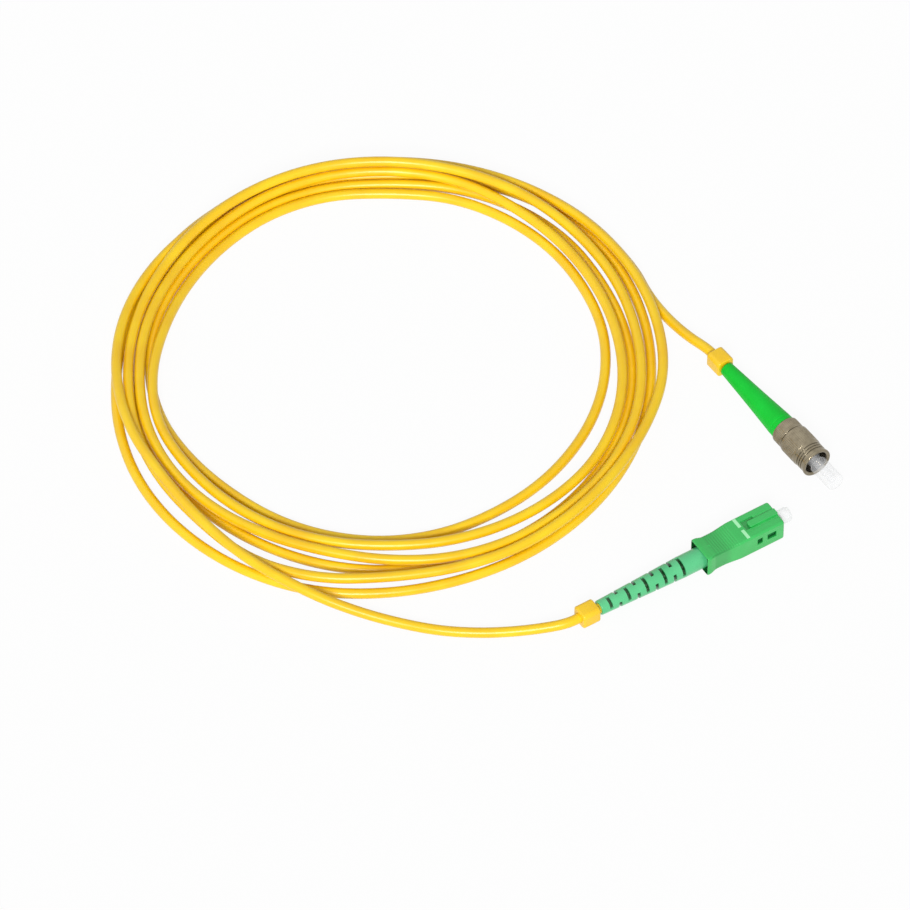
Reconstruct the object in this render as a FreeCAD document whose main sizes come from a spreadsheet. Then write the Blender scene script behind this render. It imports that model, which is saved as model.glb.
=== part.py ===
import FreeCAD, Part
import math
import os
import re

import Sketcher

# Simplex single-mode patch cord, about 3 m long: an angled round push-pull plug on one end,
# an angled screw-on plug on the other, and the cord between them wound in a loose round coil.
# Millimetres, +Z up. The whole cord lies on z = 0. The frame's origin is on that surface,
# midway between the two plugs; the coil lies beside them.

Vector = FreeCAD.Vector
DOC = FreeCAD.newDocument("patch_cord")

# Driving sizes: alias, value, what it is
DRIVING = (
    ("cord_diameter", 3.0, "outside of the jacket"),
    ("turn_clearance", 0.45, "air kept between two turns that cross"),
    ("buffer_diameter", 0.9, "tight buffer round the fibre"),
    ("running_clearance", 0.05, "radial air of a collar or a sliding round piece"),
    ("stop_gap", 0.1, "air between a sprung piece and its stop"),
    ("rest_gap", 0.3, "air between a sliding shell and its stop"),
    ("ferrule_diameter", 2.5, "both ferrules"),
    ("ferrule_length", 12.7, "both ferrules"),
    ("ferrule_chamfer", 0.35, "lead-in on the ferrule's nose"),
    ("cap_fit", 0.02, "radial air of a dust cap on its ferrule"),
    ("cap_tip_air", 1.2, "air between a ferrule's tip and its cap's closed end"),
    ("polish_angle", 8.0, "degrees of the angled end face"),
    ("flange_diameter", 4.2, "head of the ferrule holder"),
    ("flange_length", 3.0, "head of the ferrule holder"),
    ("ferrule_seat", 2.5, "depth of the ferrule in its holder"),
    ("tail_diameter", 2.4, "tube behind the holder's head"),
    ("tail_bore", 1.0, "bore for the buffered fibre"),
    ("bore_air", 0.1, "radial air of the holder in its bore"),
    ("spring_wire", 0.4, "both springs"),
    ("spring_diameter", 3.5, "middle of the wire"),
    ("spring_air", 0.05, "air at each end of a spring"),
    ("barrel_diameter", 3.8, "crimp barrel under the yarn"),
    ("barrel_length", 8.0, "crimp barrel under the yarn"),
    ("barrel_bore", 1.2, "bore of the crimp barrel"),
    ("yarn_thickness", 0.2, "strength yarn folded over the barrel"),
    ("crimp_wall", 0.3, "crimp sleeve"),
    ("crimp_inset", 0.2, "crimp sleeve short of the barrel at each end"),
    ("boot_air", 0.05, "radial air between a boot and what it covers"),
    ("lip_bore", 3.0, "inner lip that stops the ferrule holder"),
    ("lip_thickness", 1.0, "inner lip that stops the ferrule holder"),
    ("sc_axis_height", 3.7, "push-pull plug's axis above the surface"),
    ("sc_boot_length", 36.0, "whole boot"),
    ("sc_boot_cover", 2.0, "boot inside the shell"),
    ("sc_boot_tip", 4.4, "boot's diameter at its tip"),
    ("sc_boot_root", 6.4, "boot's diameter at the plug"),
    ("sc_boot_root_length", 8.4, "straight part at the plug"),
    ("sc_slot_width", 0.8, "slot in the boot"),
    ("sc_slot_pitch", 6.0, "from one slot to the next on one side"),
    ("sc_slot_land", 0.4, "boot's wall between the first slot and the crimp's room"),
    ("sc_slot_wall", 0.2, "boot's wall left under a slot"),
    ("sc_slot_floor", 1.3, "flat ends of a slot, from the middle"),
    ("sc_boot_turn", 33.0, "degrees that the boot is turned about the axis"),
    ("sc_shell_length", 26.0, "push-pull shell"),
    ("sc_shell_width", 9.0, "push-pull shell"),
    ("sc_shell_height", 7.4, "push-pull shell"),
    ("sc_shell_wall", 0.8, "push-pull shell"),
    ("sc_shell_rounding", 0.6, "shell's long edges"),
    ("sc_shell_air", 0.2, "air between shell and plug body"),
    ("sc_grip_travel", 1.2, "how far the shell slides back"),
    ("sc_boot_hole_air", 0.25, "radial air between boot and shell"),
    ("sc_key_width", 2.2, "key on the shell's top"),
    ("sc_key_height", 0.5, "key on the shell's top"),
    ("sc_key_length", 9.5, "key on the shell's top"),
    ("sc_channel_width", 4.4, "shallow channel round the key"),
    ("sc_channel_length", 11.0, "shallow channel round the key"),
    ("sc_channel_depth", 0.25, "shallow channel round the key"),
    ("sc_mark_place", 12.4, "index marks behind the shell's mouth"),
    ("sc_mark_length", 3.4, "one index mark, across the shell"),
    ("sc_mark_width", 1.0, "one index mark, along the shell"),
    ("sc_mark_gap", 1.2, "between the two index marks"),
    ("sc_mark_depth", 0.2, "groove that holds the mark"),
    ("sc_window_low", 0.7, "window's lower edge below the axis"),
    ("sc_window_high", 1.6, "window's upper edge above the axis"),
    ("sc_window_rear_place", 9.2, "rear window's rear edge behind the mouth"),
    ("sc_window_rear_length", 1.8, "rear window"),
    ("sc_window_front_place", 5.8, "front window's rear edge behind the mouth"),
    ("sc_window_front_length", 3.0, "front window"),
    ("sc_collar_diameter", 5.2, "stop body's collar"),
    ("sc_nose_length", 4.1, "stop body's nose in the plug body"),
    ("sc_nose_wall_air", 0.02, "radial air of the nose in the plug body"),
    ("sc_nose_bore", 2.8, "room for the holder's tail"),
    ("sc_body_inset", 0.7, "plug body's face behind the shell's mouth"),
    ("sc_body_mouth", 4.8, "plug body's front bore"),
    ("sc_spring_room", 5.1, "between stop body and ferrule holder"),
    ("sc_tail_length", 8.5, "holder's tail"),
    ("sc_cap_diameter", 4.4, "dust cap"),
    ("sc_cap_lip_air", 1.3, "dust cap in front of the lip"),
    ("sc_cap_end", 3.0, "dust cap's closed end"),
    ("fc_axis_height", 4.7, "screw-on plug's axis above the surface"),
    ("fc_boot_length", 28.0, "whole boot"),
    ("fc_boot_tip", 4.2, "boot's diameter at its tip"),
    ("fc_boot_waist", 6.0, "boot's diameter halfway"),
    ("fc_boot_root", 7.8, "boot's diameter at the plug"),
    ("fc_boot_rim", 1.6, "straight rim at the plug"),
    ("fc_neck_diameter", 5.7, "rear body inside the boot"),
    ("fc_neck_length", 7.0, "rear body inside the boot"),
    ("fc_rear_diameter", 8.8, "rear body outside the boot"),
    ("fc_rear_length", 3.9, "rear body outside the boot"),
    ("fc_spring_back", 0.5, "floor between barrel bore and spring bore"),
    ("fc_body_diameter", 6.2, "front body's tube"),
    ("fc_body_seat", 3.3, "front body inside the rear body"),
    ("fc_body_length", 10.9, "front body"),
    ("fc_body_mouth", 4.6, "front body's front bore"),
    ("fc_key_width", 2.0, "key on the front body"),
    ("fc_key_height", 0.4, "key on the front body"),
    ("fc_key_length", 2.5, "key on the front body"),
    ("fc_groove_diameter", 5.4, "groove for the snap ring"),
    ("fc_groove_place", 1.7, "groove in front of the rear body"),
    ("fc_ring_diameter", 7.0, "snap ring"),
    ("fc_ring_thickness", 0.8, "snap ring"),
    ("fc_ring_split", 2.0, "opening of the snap ring"),
    ("fc_ring_air", 0.1, "axial air on each side of the snap ring"),
    ("fc_nut_travel", 1.0, "how far ring and nut slide"),
    ("fc_nut_diameter", 9.4, "coupling nut"),
    ("fc_nut_length", 11.4, "coupling nut"),
    ("fc_nut_gap", 0.2, "between nut and rear body"),
    ("fc_nut_back", 1.4, "nut's rear wall"),
    ("fc_nut_shoulder", 0.8, "nut's wall in front of the ring"),
    ("fc_nut_air", 0.1, "radial air of the nut on the body and ring"),
    ("fc_nut_relief", 8.0, "bore behind the thread"),
    ("fc_thread_bore", 7.3, "crest of the M8 x 0.75 inside thread"),
    ("fc_thread_length", 5.5, "inside thread"),
    ("fc_nut_chamfer", 0.5, "nut's outer edges"),
    ("fc_line_width", 0.35, "turned line round the nut"),
    ("fc_line_depth", 0.2, "turned line round the nut"),
    ("fc_line_place", 3.2, "front turned line behind the nut's mouth"),
    ("fc_line_pitch", 1.3, "from one turned line to the next"),
    ("fc_head_diameter", 4.2, "holder's head"),
    ("fc_head_depth", 4.4, "holder's head behind the rear body's front"),
    ("fc_tail_length", 5.0, "holder's tail"),
    ("fc_cap_neck", 4.2, "dust cap inside the front body"),
    ("fc_cap_lip_air", 1.7, "dust cap in front of the lip"),
    ("fc_cap_head", 5.4, "dust cap's grip"),
    ("fc_cap_head_length", 11.4, "dust cap's grip"),
    ("fc_cap_air", 1.8, "cap's grip in front of the body's mouth"),
    ("fc_cap_end", 1.6, "dust cap's closed end"),
    ("marker_length", 5.6, "marker collar along the cord"),
    ("marker_width", 5.6, "marker collar across"),
    ("marker_rounding", 1.4, "marker collar's long edges"),
    ("sc_marker_gap", 1.0, "between collar and boot"),
    ("fc_marker_gap", 0.3, "between collar and boot"),
    ("coil_start", 30.0, "degrees round the coil where it begins"),
    ("coil_end", 2265.0, "degrees round the coil where it ends"),
    ("coil_climb_start", 1050.0, "degrees where the lower layer ends"),
    ("coil_climb_end", 1230.0, "degrees where the upper layer begins"),
    ("coil_middle_x", -93.864, "coil's middle"),
    ("coil_middle_y", 42.818, "coil's middle"),
    ("sc_tip_x", 59.4, "boot's tip from the coil's middle"),
    ("sc_tip_y", -86.3, "boot's tip from the coil's middle"),
    ("sc_heading", 32.5, "degrees, where the plug points"),
    ("fc_tip_x", 96.9, "boot's tip from the coil's middle"),
    ("fc_tip_y", 1.3, "boot's tip from the coil's middle"),
    ("fc_heading", -54.5, "degrees, where the plug points"),
)

# Places along each plug's axis, counted from its boot's tip towards the ferrule
PLACES = (
    ("crimp_bore", "barrel_diameter + 2 * yarn_thickness"),
    ("crimp_outside", "crimp_bore + 2 * crimp_wall"),
    ("boot_bore", "cord_diameter + 2 * boot_air"),
    ("boot_crimp_bore", "crimp_outside + 2 * boot_air"),
    ("flange_bore", "flange_diameter + 2 * bore_air"),
    ("cap_bore", "ferrule_diameter + 2 * cap_fit"),
    ("sc_barrel_rear", "sc_boot_length - barrel_length"),
    ("sc_shell_rear", "sc_boot_length - sc_boot_cover"),
    ("sc_mouth", "sc_shell_rear + sc_shell_length"),
    ("sc_cavity_width", "sc_shell_width - 2 * sc_shell_wall"),
    ("sc_cavity_height", "sc_shell_height - 2 * sc_shell_wall"),
    ("sc_slot_first", "sc_barrel_rear - crimp_inset - sc_slot_land - sc_slot_width"),
    ("sc_body_rear", "sc_boot_length + sc_grip_travel + 2 * rest_gap"),
    ("sc_cavity_rear", "sc_body_rear - rest_gap"),
    ("sc_body_front", "sc_mouth - sc_body_inset"),
    ("sc_nose_front", "sc_body_rear + sc_nose_length"),
    ("sc_head_rear", "sc_nose_front + sc_spring_room"),
    ("sc_head_front", "sc_head_rear + flange_length"),
    ("sc_lip_rear", "sc_head_front + stop_gap"),
    ("sc_lip_front", "sc_lip_rear + lip_thickness"),
    ("sc_ferrule_rear", "sc_head_front - ferrule_seat"),
    ("sc_ferrule_tip", "sc_ferrule_rear + ferrule_length"),
    ("sc_cap_floor", "sc_ferrule_tip + cap_tip_air"),
    ("sc_cap_front", "sc_cap_floor + sc_cap_end"),
    ("sc_cap_rear", "sc_lip_front + sc_cap_lip_air"),
    ("fc_barrel_front", "fc_boot_length - fc_neck_length"),
    ("fc_barrel_rear", "fc_barrel_front - barrel_length"),
    ("fc_spring_rear", "fc_barrel_front + fc_spring_back"),
    ("fc_rear_front", "fc_boot_length + fc_rear_length"),
    ("fc_body_rear", "fc_rear_front - fc_body_seat"),
    ("fc_body_front", "fc_body_rear + fc_body_length"),
    ("fc_head_rear", "fc_rear_front - fc_head_depth"),
    ("fc_head_front", "fc_head_rear + flange_length"),
    ("fc_lip_rear", "fc_head_front + stop_gap"),
    ("fc_lip_front", "fc_lip_rear + lip_thickness"),
    ("fc_ferrule_rear", "fc_head_front - ferrule_seat"),
    ("fc_ferrule_tip", "fc_ferrule_rear + ferrule_length"),
    ("fc_groove_rear", "fc_rear_front + fc_groove_place"),
    ("fc_ring_rear", "fc_groove_rear + fc_ring_air"),
    ("fc_ring_front", "fc_ring_rear + fc_ring_thickness"),
    ("fc_groove_front", "fc_ring_front + fc_nut_travel + fc_ring_air"),
    ("fc_nut_rear", "fc_rear_front + fc_nut_gap"),
    ("fc_nut_front", "fc_nut_rear + fc_nut_length"),
    ("fc_pocket_rear", "fc_ring_rear - fc_ring_air"),
    ("fc_pocket_front", "fc_ring_front + fc_ring_air"),
    ("fc_relief_rear", "fc_pocket_front + fc_nut_shoulder"),
    ("fc_thread_rear", "fc_nut_front - fc_thread_length"),
    ("fc_grip_rear", "fc_body_front + fc_cap_air"),
    ("fc_grip_front", "fc_grip_rear + fc_cap_head_length"),
    ("fc_cap_rear", "fc_lip_front + fc_cap_lip_air"),
)

SC_SLOT_COUNT = 5
FC_LINE_COUNT = 2
SPRING_TURNS = 6
KNOTS_A_TURN = 4
ARC_SHARE = 0.45
SAMPLES_AN_EDGE = 24
TURN_SKIP = 20

# Where the turns pass four sides of the coil, in the order in which the cord is wound:
# how far each turn lies from the coil's middle at 60, 150, 240 and 330 degrees.
FIRST_SIDE = 60.0
TURN_REACH = (
    (81.2, 79.4, 81.5, 75.0),
    (76.6, 75.4, 69.1, 68.8),
    (71.6, 71.8, 62.9, 59.2),
    (66.4, 67.1, 65.7, 65.9),
    (70.1, 71.3, 73.5, 73.8),
    (73.9, 75.9, 83.9, 77.6),
    (79.0,),
)
FIRST_REACH = 80.0
LAST_REACH = 78.2

# The free stretch from the coil to the push-pull plug: on over the last turns, down between
# two of them, over the outermost and then along the surface. Points from the coil's middle,
# between the coil's end and the boot.
SC_ROUTE = (
    (-54.2, 58.1, 7.2),
    (-65.7, 42.6, 8.7),
    (-72.5, 25.0, 8.7),
    (-75.3, 6.6, 7.4),
    (-75.4, -11.9, 5.5),
    (-71.1, -30.1, 5.2),
    (-62.8, -47.3, 6.9),
    (-52.2, -62.2, 8.6),
    (-39.7, -74.7, 8.7),
    (-24.4, -85.2, 7.4),
    (-3.2, -92.3, 3.9),
    (14.5, -94.7, 1.5),
    (31.5, -95.0, 1.5),
)
SC_FIRST_RUN = 17.0
SC_LAST_RUN = 14.0

# The free stretch from the coil's beginning to the screw-on plug has only the two corners
# that lie in line with the coil's end and with the plug.
FC_ROUTE = ()
FC_FIRST_RUN = 13.0
FC_LAST_RUN = 13.0


def spell(expression):
    """Put each alias of an expression under the name of its sheet."""
    return re.sub(r"[a-z_]+", lambda word: SHEET_OF.get(word[0], "") + word[0], expression)


def make_sheets():
    """Write the driving sizes and the places worked out from them."""
    sizes = DOC.addObject("Spreadsheet::Sheet", "Sizes")
    for row, (alias, value, words) in enumerate(DRIVING, 1):
        sizes.set(f"A{row}", words)
        sizes.set(f"B{row}", str(value))
        sizes.setAlias(f"B{row}", alias)
        SHEET_OF[alias] = "Sizes."
    places = DOC.addObject("Spreadsheet::Sheet", "Places")
    for row, (alias, formula) in enumerate(PLACES, 1):
        places.set(f"A{row}", alias)
        places.set(f"B{row}", "=" + spell(formula))
        places.setAlias(f"B{row}", alias)
        SHEET_OF[alias] = "Places."
    DOC.recompute()
    return sizes


SHEET_OF = {}
SIZES = make_sheets()


def size(expression):
    """The value of an expression in aliases."""
    return float(SIZES.evalExpression(spell(expression)))


def bind(thing, **bindings):
    """Bind properties to expressions; a double underscore in a name stands for a dot."""
    for name, expression in bindings.items():
        thing.setExpression(name.replace("__", "."), spell(expression))


def new_body(label):
    """An empty body with its node's name."""
    body = DOC.addObject("PartDesign::Body", label)
    body.Label = label
    return body


def origin_plane(body, role):
    """One of the body's own origin planes."""
    return next(item for item in body.Origin.OriginFeatures if item.Role == role)


def outline(body, corners):
    """A closed outline of straight edges; each corner is (along, out), both expressions."""
    sketch = body.newObject("Sketcher::SketchObject", body.Name + "_outline")
    sketch.AttachmentSupport = (origin_plane(body, "XY_Plane"), [""])
    sketch.MapMode = "FlatFace"
    points = [Vector(size(along), size(out), 0) for along, out in corners]
    count = len(points)
    for index in range(count):
        sketch.addGeometry(Part.LineSegment(points[index], points[(index + 1) % count]), False)
    for index in range(count):
        sketch.addConstraint(Sketcher.Constraint("Coincident", index, 2, (index + 1) % count, 1))
    for index, corner in enumerate(corners):
        for kind, axis, expression in (("DistanceX", -2, corner[0]), ("DistanceY", -1, corner[1])):
            if expression == "0":
                sketch.addConstraint(Sketcher.Constraint("PointOnObject", index, 1, axis))
            else:
                value = size(expression)
                number = sketch.addConstraint(Sketcher.Constraint(kind, -1, 1, index, 1, value))
                sketch.setExpression(f"Constraints[{number}]", spell(expression))
    return sketch


def turned(label, corners):
    """A piece turned round its own axis, which is the body's X axis."""
    body = new_body(label)
    sketch = outline(body, corners)
    turn = body.newObject("PartDesign::Revolution", label + "_turn")
    turn.Profile = sketch
    turn.ReferenceAxis = (sketch, ["H_Axis"])
    turn.Angle = 360
    DOC.recompute()
    return body


def block(body, kind, name, along, across, up):
    """Add or take away a block; each of along, across and up is (low, high), as expressions."""
    feature = body.newObject("PartDesign::" + kind + "Box", name)
    bind(
        feature,
        Length=f"{along[1]} - ( {along[0]} )",
        Width=f"{across[1]} - ( {across[0]} )",
        Height=f"{up[1]} - ( {up[0]} )",
        Placement__Base__x=along[0],
        Placement__Base__y=across[0],
        Placement__Base__z=up[0],
    )
    return feature


def centred(width):
    """The two edges of a width that is centred on the axis."""
    return f"-( {width} ) / 2", f"( {width} ) / 2"


def bore(body, name, along, diameter, kind="Subtractive"):
    """Take away a round hole along the axis, or add a round core."""
    hole = body.newObject("PartDesign::" + kind + "Cylinder", name)
    hole.Placement = FreeCAD.Placement(Vector(0, 0, 0), FreeCAD.Rotation(Vector(0, 1, 0), 90))
    bind(
        hole,
        Radius=f"( {diameter} ) / 2",
        Height=f"{along[1]} - ( {along[0]} )",
        Placement__Base__x=along[0],
    )
    return hole


def round_long_edges(body, feature, radius):
    """Round the four edges of a block that run along the axis."""
    DOC.recompute()
    names = []
    for number, edge in enumerate(feature.Shape.Edges, 1):
        ends = [vertex.Point for vertex in edge.Vertexes]
        if abs((ends[1] - ends[0]).x) > 0.5 * feature.Shape.BoundBox.XLength:
            names.append(f"Edge{number}")
    rounding = body.newObject("PartDesign::Fillet", body.Name + "_rounding")
    rounding.Base = (feature, names)
    bind(rounding, Radius=radius)
    DOC.recompute()


def tube(label, along, outside, inside):
    """A plain tube; along is (low, high)."""
    low, high = along
    corners = (
        (low, f"{inside} / 2"),
        (high, f"{inside} / 2"),
        (high, f"{outside} / 2"),
        (low, f"{outside} / 2"),
    )
    return turned(label, corners)


def rod(label, along, diameter):
    """A plain round rod; along is (low, high)."""
    low, high = along
    return turned(label, ((low, "0"), (high, "0"), (high, f"{diameter} / 2"), (low, f"{diameter} / 2")))


# Pieces that both plugs have

def ferrule(label, rear, tip):
    """Ceramic ferrule with a chamfered nose and an angled end face."""
    body = turned(label, (
        (rear, "0"),
        (tip, "0"),
        (tip, "ferrule_diameter / 2 - ferrule_chamfer"),
        (f"{tip} - ferrule_chamfer", "ferrule_diameter / 2"),
        (rear, "ferrule_diameter / 2"),
    ))
    wedge = body.newObject("PartDesign::SubtractiveBox", label + "_polish")
    wedge.Placement = FreeCAD.Placement(Vector(0, 0, 0), FreeCAD.Rotation(Vector(0, 1, 0), 1))
    bind(
        wedge,
        Length="ferrule_diameter",
        Width="2 * ferrule_diameter",
        Height="2 * ferrule_diameter",
        Placement__Base__x=f"{tip} - tan(polish_angle) * ferrule_diameter",
        Placement__Base__y="-ferrule_diameter",
        Placement__Base__z="-ferrule_diameter",
        Placement__Rotation__Angle="polish_angle",
    )
    return body


def ferrule_holder(label, head_rear, head_front, tail_length, head_diameter):
    """Metal holder: a head that the ferrule is pressed into, and a tail inside the spring."""
    tail_rear = f"{head_rear} - {tail_length}"
    seat = f"{head_front} - ferrule_seat"
    return turned(label, (
        (tail_rear, "tail_bore / 2"),
        (seat, "tail_bore / 2"),
        (seat, "ferrule_diameter / 2"),
        (head_front, "ferrule_diameter / 2"),
        (head_front, f"{head_diameter} / 2"),
        (head_rear, f"{head_diameter} / 2"),
        (head_rear, "tail_diameter / 2"),
        (tail_rear, "tail_diameter / 2"),
    ))


def marker_collar(label, front):
    """Soft collar on the cord, rounded square, with a smooth bore."""
    body = new_body(label)
    rear = f"{front} - marker_length"
    shell = block(body, "Additive", label + "_collar", (rear, front),
                  centred("marker_width"), centred("marker_width"))
    round_long_edges(body, shell, "marker_rounding")
    bore(body, label + "_bore", (rear, front), "cord_diameter + 2 * running_clearance")
    return body


# Push-pull plug

def make_sc_boot():
    """Slotted strain relief: tapered, with slots by turns across one way and the other, down to a liner."""
    body = turned("sc_boot", (
        ("0", "0"),
        ("sc_boot_length", "0"),
        ("sc_boot_length", "sc_boot_root / 2"),
        ("sc_boot_length - sc_boot_root_length", "sc_boot_root / 2"),
        ("0", "sc_boot_tip / 2"),
    ))
    floor = "sc_slot_floor"
    past = "sc_boot_root"
    for index in range(SC_SLOT_COUNT):
        upright = f"sc_slot_first - {index} * sc_slot_pitch"
        for name, low, high in (("far", floor, past), ("near", f"-{past}", f"-{floor}")):
            block(body, "Subtractive", f"slot_{name}_{index}",
                  (upright, f"{upright} + sc_slot_width"), centred(f"2 * {past}"), (low, high))
    for index in range(SC_SLOT_COUNT - 1):
        sideways = f"sc_slot_first - ( {index} + 0.5 ) * sc_slot_pitch"
        for name, low, high in (("far", floor, past), ("near", f"-{past}", f"-{floor}")):
            block(body, "Subtractive", f"side_slot_{name}_{index}",
                  (sideways, f"{sideways} + sc_slot_width"), (low, high), centred(f"2 * {past}"))
    crimp_room = "sc_barrel_rear - crimp_inset"
    bore(body, "sc_boot_liner", ("0", crimp_room), "boot_bore + 2 * sc_slot_wall", "Additive")
    bore(body, "sc_boot_bore", ("0", crimp_room), "boot_bore")
    bore(body, "sc_boot_room", (crimp_room, "sc_boot_length"), "boot_crimp_bore")
    return body


def make_sc_shell():
    """Push-pull shell: a rounded square sleeve with a rear hole for the boot and two windows a side."""
    body = new_body("sc_housing")
    along = ("sc_shell_rear", "sc_mouth")
    outside = block(body, "Additive", "sc_shell_outside", along,
                    centred("sc_shell_width"), centred("sc_shell_height"))
    round_long_edges(body, outside, "sc_shell_rounding")
    top = "sc_shell_height / 2"
    block(body, "Subtractive", "sc_channel", ("sc_mouth - sc_channel_length", "sc_mouth"),
          centred("sc_channel_width"), (f"{top} - sc_channel_depth", f"{top} + sc_channel_depth"))
    block(body, "Additive", "sc_key", ("sc_mouth - sc_key_length", "sc_mouth"),
          centred("sc_key_width"), (f"{top} - sc_shell_wall / 2", f"{top} + sc_key_height"))
    block(body, "Subtractive", "sc_cavity", ("sc_cavity_rear", "sc_mouth"),
          centred("sc_cavity_width"), centred("sc_cavity_height"))
    bore(body, "sc_boot_hole", ("sc_shell_rear", "sc_cavity_rear"), "sc_boot_root + 2 * sc_boot_hole_air")
    for name in ("rear", "front"):
        start = f"sc_mouth - sc_window_{name}_place"
        block(body, "Subtractive", "sc_windows_" + name, (start, f"{start} + sc_window_{name}_length"),
              centred("2 * sc_shell_width"), ("-sc_window_low", "sc_window_high"))
    for name, across in mark_places().items():
        block(body, "Subtractive", "sc_mark_groove_" + name, mark_along(), across,
              (f"{top} - sc_mark_depth", f"{top} + sc_mark_depth"))
    return body


def mark_along():
    """Where the index marks lie along the shell."""
    start = "sc_mouth - sc_mark_place"
    return start, f"{start} + sc_mark_width"


def mark_places():
    """Where each index mark lies across the shell."""
    inner = "sc_mark_gap / 2"
    outer = f"{inner} + sc_mark_length"
    return {"far": (inner, outer), "near": (f"-( {outer} )", f"-{inner}")}


def make_sc_marks():
    """The two pale index marks, flush in their grooves: one node of two bars."""
    top = "sc_shell_height / 2"
    bars = []
    for name, across in mark_places().items():
        bar = DOC.addObject("Part::Box", "sc_mark_" + name)
        low, high = mark_along()
        bind(
            bar,
            Length=f"{high} - ( {low} )",
            Width=f"{across[1]} - ( {across[0]} )",
            Height="sc_mark_depth",
            Placement__Base__x=low,
            Placement__Base__y=across[0],
            Placement__Base__z=f"{top} - sc_mark_depth",
        )
        bars.append(bar)
    marks = DOC.addObject("Part::Compound", "sc_index_marks")
    marks.Links = bars
    return marks


def make_sc_body():
    """Plug body inside the shell: holds the stop body behind and the ferrule's lip in front."""
    body = new_body("sc_plug_body")
    block(body, "Additive", "sc_plug_block", ("sc_body_rear", "sc_body_front"),
          centred("sc_cavity_width - 2 * sc_shell_air"), centred("sc_cavity_height - 2 * sc_shell_air"))
    bore(body, "sc_spring_bore", ("sc_body_rear", "sc_lip_rear"), "flange_bore")
    bore(body, "sc_lip_bore", ("sc_lip_rear", "sc_lip_front"), "lip_bore")
    bore(body, "sc_front_bore", ("sc_lip_front", "sc_body_front"), "sc_body_mouth")
    return body


def make_sc_stop():
    """Stop body: crimp barrel behind, a collar against the plug body, and a nose that holds the spring."""
    return turned("sc_stop_body", (
        ("sc_barrel_rear", "barrel_bore / 2"),
        ("sc_boot_length", "barrel_bore / 2"),
        ("sc_boot_length", "sc_nose_bore / 2"),
        ("sc_nose_front", "sc_nose_bore / 2"),
        ("sc_nose_front", "flange_bore / 2 - sc_nose_wall_air"),
        ("sc_body_rear", "flange_bore / 2 - sc_nose_wall_air"),
        ("sc_body_rear", "sc_collar_diameter / 2"),
        ("sc_boot_length", "sc_collar_diameter / 2"),
        ("sc_boot_length", "barrel_diameter / 2"),
        ("sc_barrel_rear", "barrel_diameter / 2"),
    ))


def make_sc_cap():
    """Clear dust cap, pushed over the ferrule into the plug body's mouth."""
    edge = "ferrule_chamfer"
    return turned("sc_dust_cap", (
        ("sc_cap_rear", "cap_bore / 2"),
        ("sc_cap_floor", "cap_bore / 2"),
        ("sc_cap_floor", "0"),
        ("sc_cap_front", "0"),
        ("sc_cap_front", f"sc_cap_diameter / 2 - {edge}"),
        (f"sc_cap_front - {edge}", "sc_cap_diameter / 2"),
        ("sc_cap_rear", "sc_cap_diameter / 2"),
    ))


def make_sc_plug():
    """Every piece of the push-pull plug, along its own axis."""
    barrel = ("sc_barrel_rear", "sc_boot_length")
    inset = ("sc_barrel_rear + crimp_inset", "sc_boot_length - crimp_inset")
    return [
        make_sc_boot(),
        rod("cord_end_sc", ("0", "sc_barrel_rear"), "cord_diameter"),
        make_sc_stop(),
        tube("sc_yarn_fold", barrel, "crimp_bore", "barrel_diameter"),
        tube("sc_crimp_sleeve", inset, "crimp_outside", "crimp_bore"),
        rod("sc_buffered_fibre", ("sc_barrel_rear", "sc_ferrule_rear - 1.1"), "buffer_diameter"),
        make_sc_body(),
        ferrule_holder("sc_ferrule_holder", "sc_head_rear", "sc_head_front",
                       "sc_tail_length", "flange_diameter"),
        ferrule("sc_ferrule", "sc_ferrule_rear", "sc_ferrule_tip"),
        make_spring("sc_spring", "sc_nose_front + spring_air", "sc_head_rear - spring_air"),
        make_sc_shell(),
        make_sc_marks(),
        make_sc_cap(),
        marker_collar("cable_marker_sc", "-sc_marker_gap"),
    ]


# Screw-on plug

def make_fc_boot():
    """Smooth tapered strain relief with a straight rim against the rear body."""
    half = "fc_boot_length / 2"
    return turned("fc_boot", (
        ("0", "boot_bore / 2"),
        ("fc_barrel_rear - crimp_inset", "boot_bore / 2"),
        ("fc_barrel_rear - crimp_inset", "boot_crimp_bore / 2"),
        ("fc_barrel_front", "boot_crimp_bore / 2"),
        ("fc_barrel_front", "fc_neck_diameter / 2 + boot_air"),
        ("fc_boot_length", "fc_neck_diameter / 2 + boot_air"),
        ("fc_boot_length", "fc_boot_root / 2"),
        ("fc_boot_length - fc_boot_rim", "fc_boot_root / 2"),
        (half, "fc_boot_waist / 2"),
        ("0", "fc_boot_tip / 2"),
    ))


def make_fc_rear():
    """Rear body: crimp barrel, neck inside the boot, and the round shell between boot and nut."""
    body = "fc_body_diameter / 2"
    edge = "fc_nut_chamfer / 2"
    return turned("fc_rear_body", (
        ("fc_barrel_rear", "barrel_bore / 2"),
        ("fc_spring_rear", "barrel_bore / 2"),
        ("fc_spring_rear", "flange_bore / 2"),
        ("fc_body_rear", "flange_bore / 2"),
        ("fc_body_rear", body),
        ("fc_rear_front", body),
        ("fc_rear_front", f"fc_rear_diameter / 2 - {edge}"),
        (f"fc_rear_front - {edge}", "fc_rear_diameter / 2"),
        (f"fc_boot_length + {edge}", "fc_rear_diameter / 2"),
        ("fc_boot_length", f"fc_rear_diameter / 2 - {edge}"),
        ("fc_boot_length", "fc_neck_diameter / 2"),
        ("fc_barrel_front", "fc_neck_diameter / 2"),
        ("fc_barrel_front", "barrel_diameter / 2"),
        ("fc_barrel_rear", "barrel_diameter / 2"),
    ))


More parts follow.
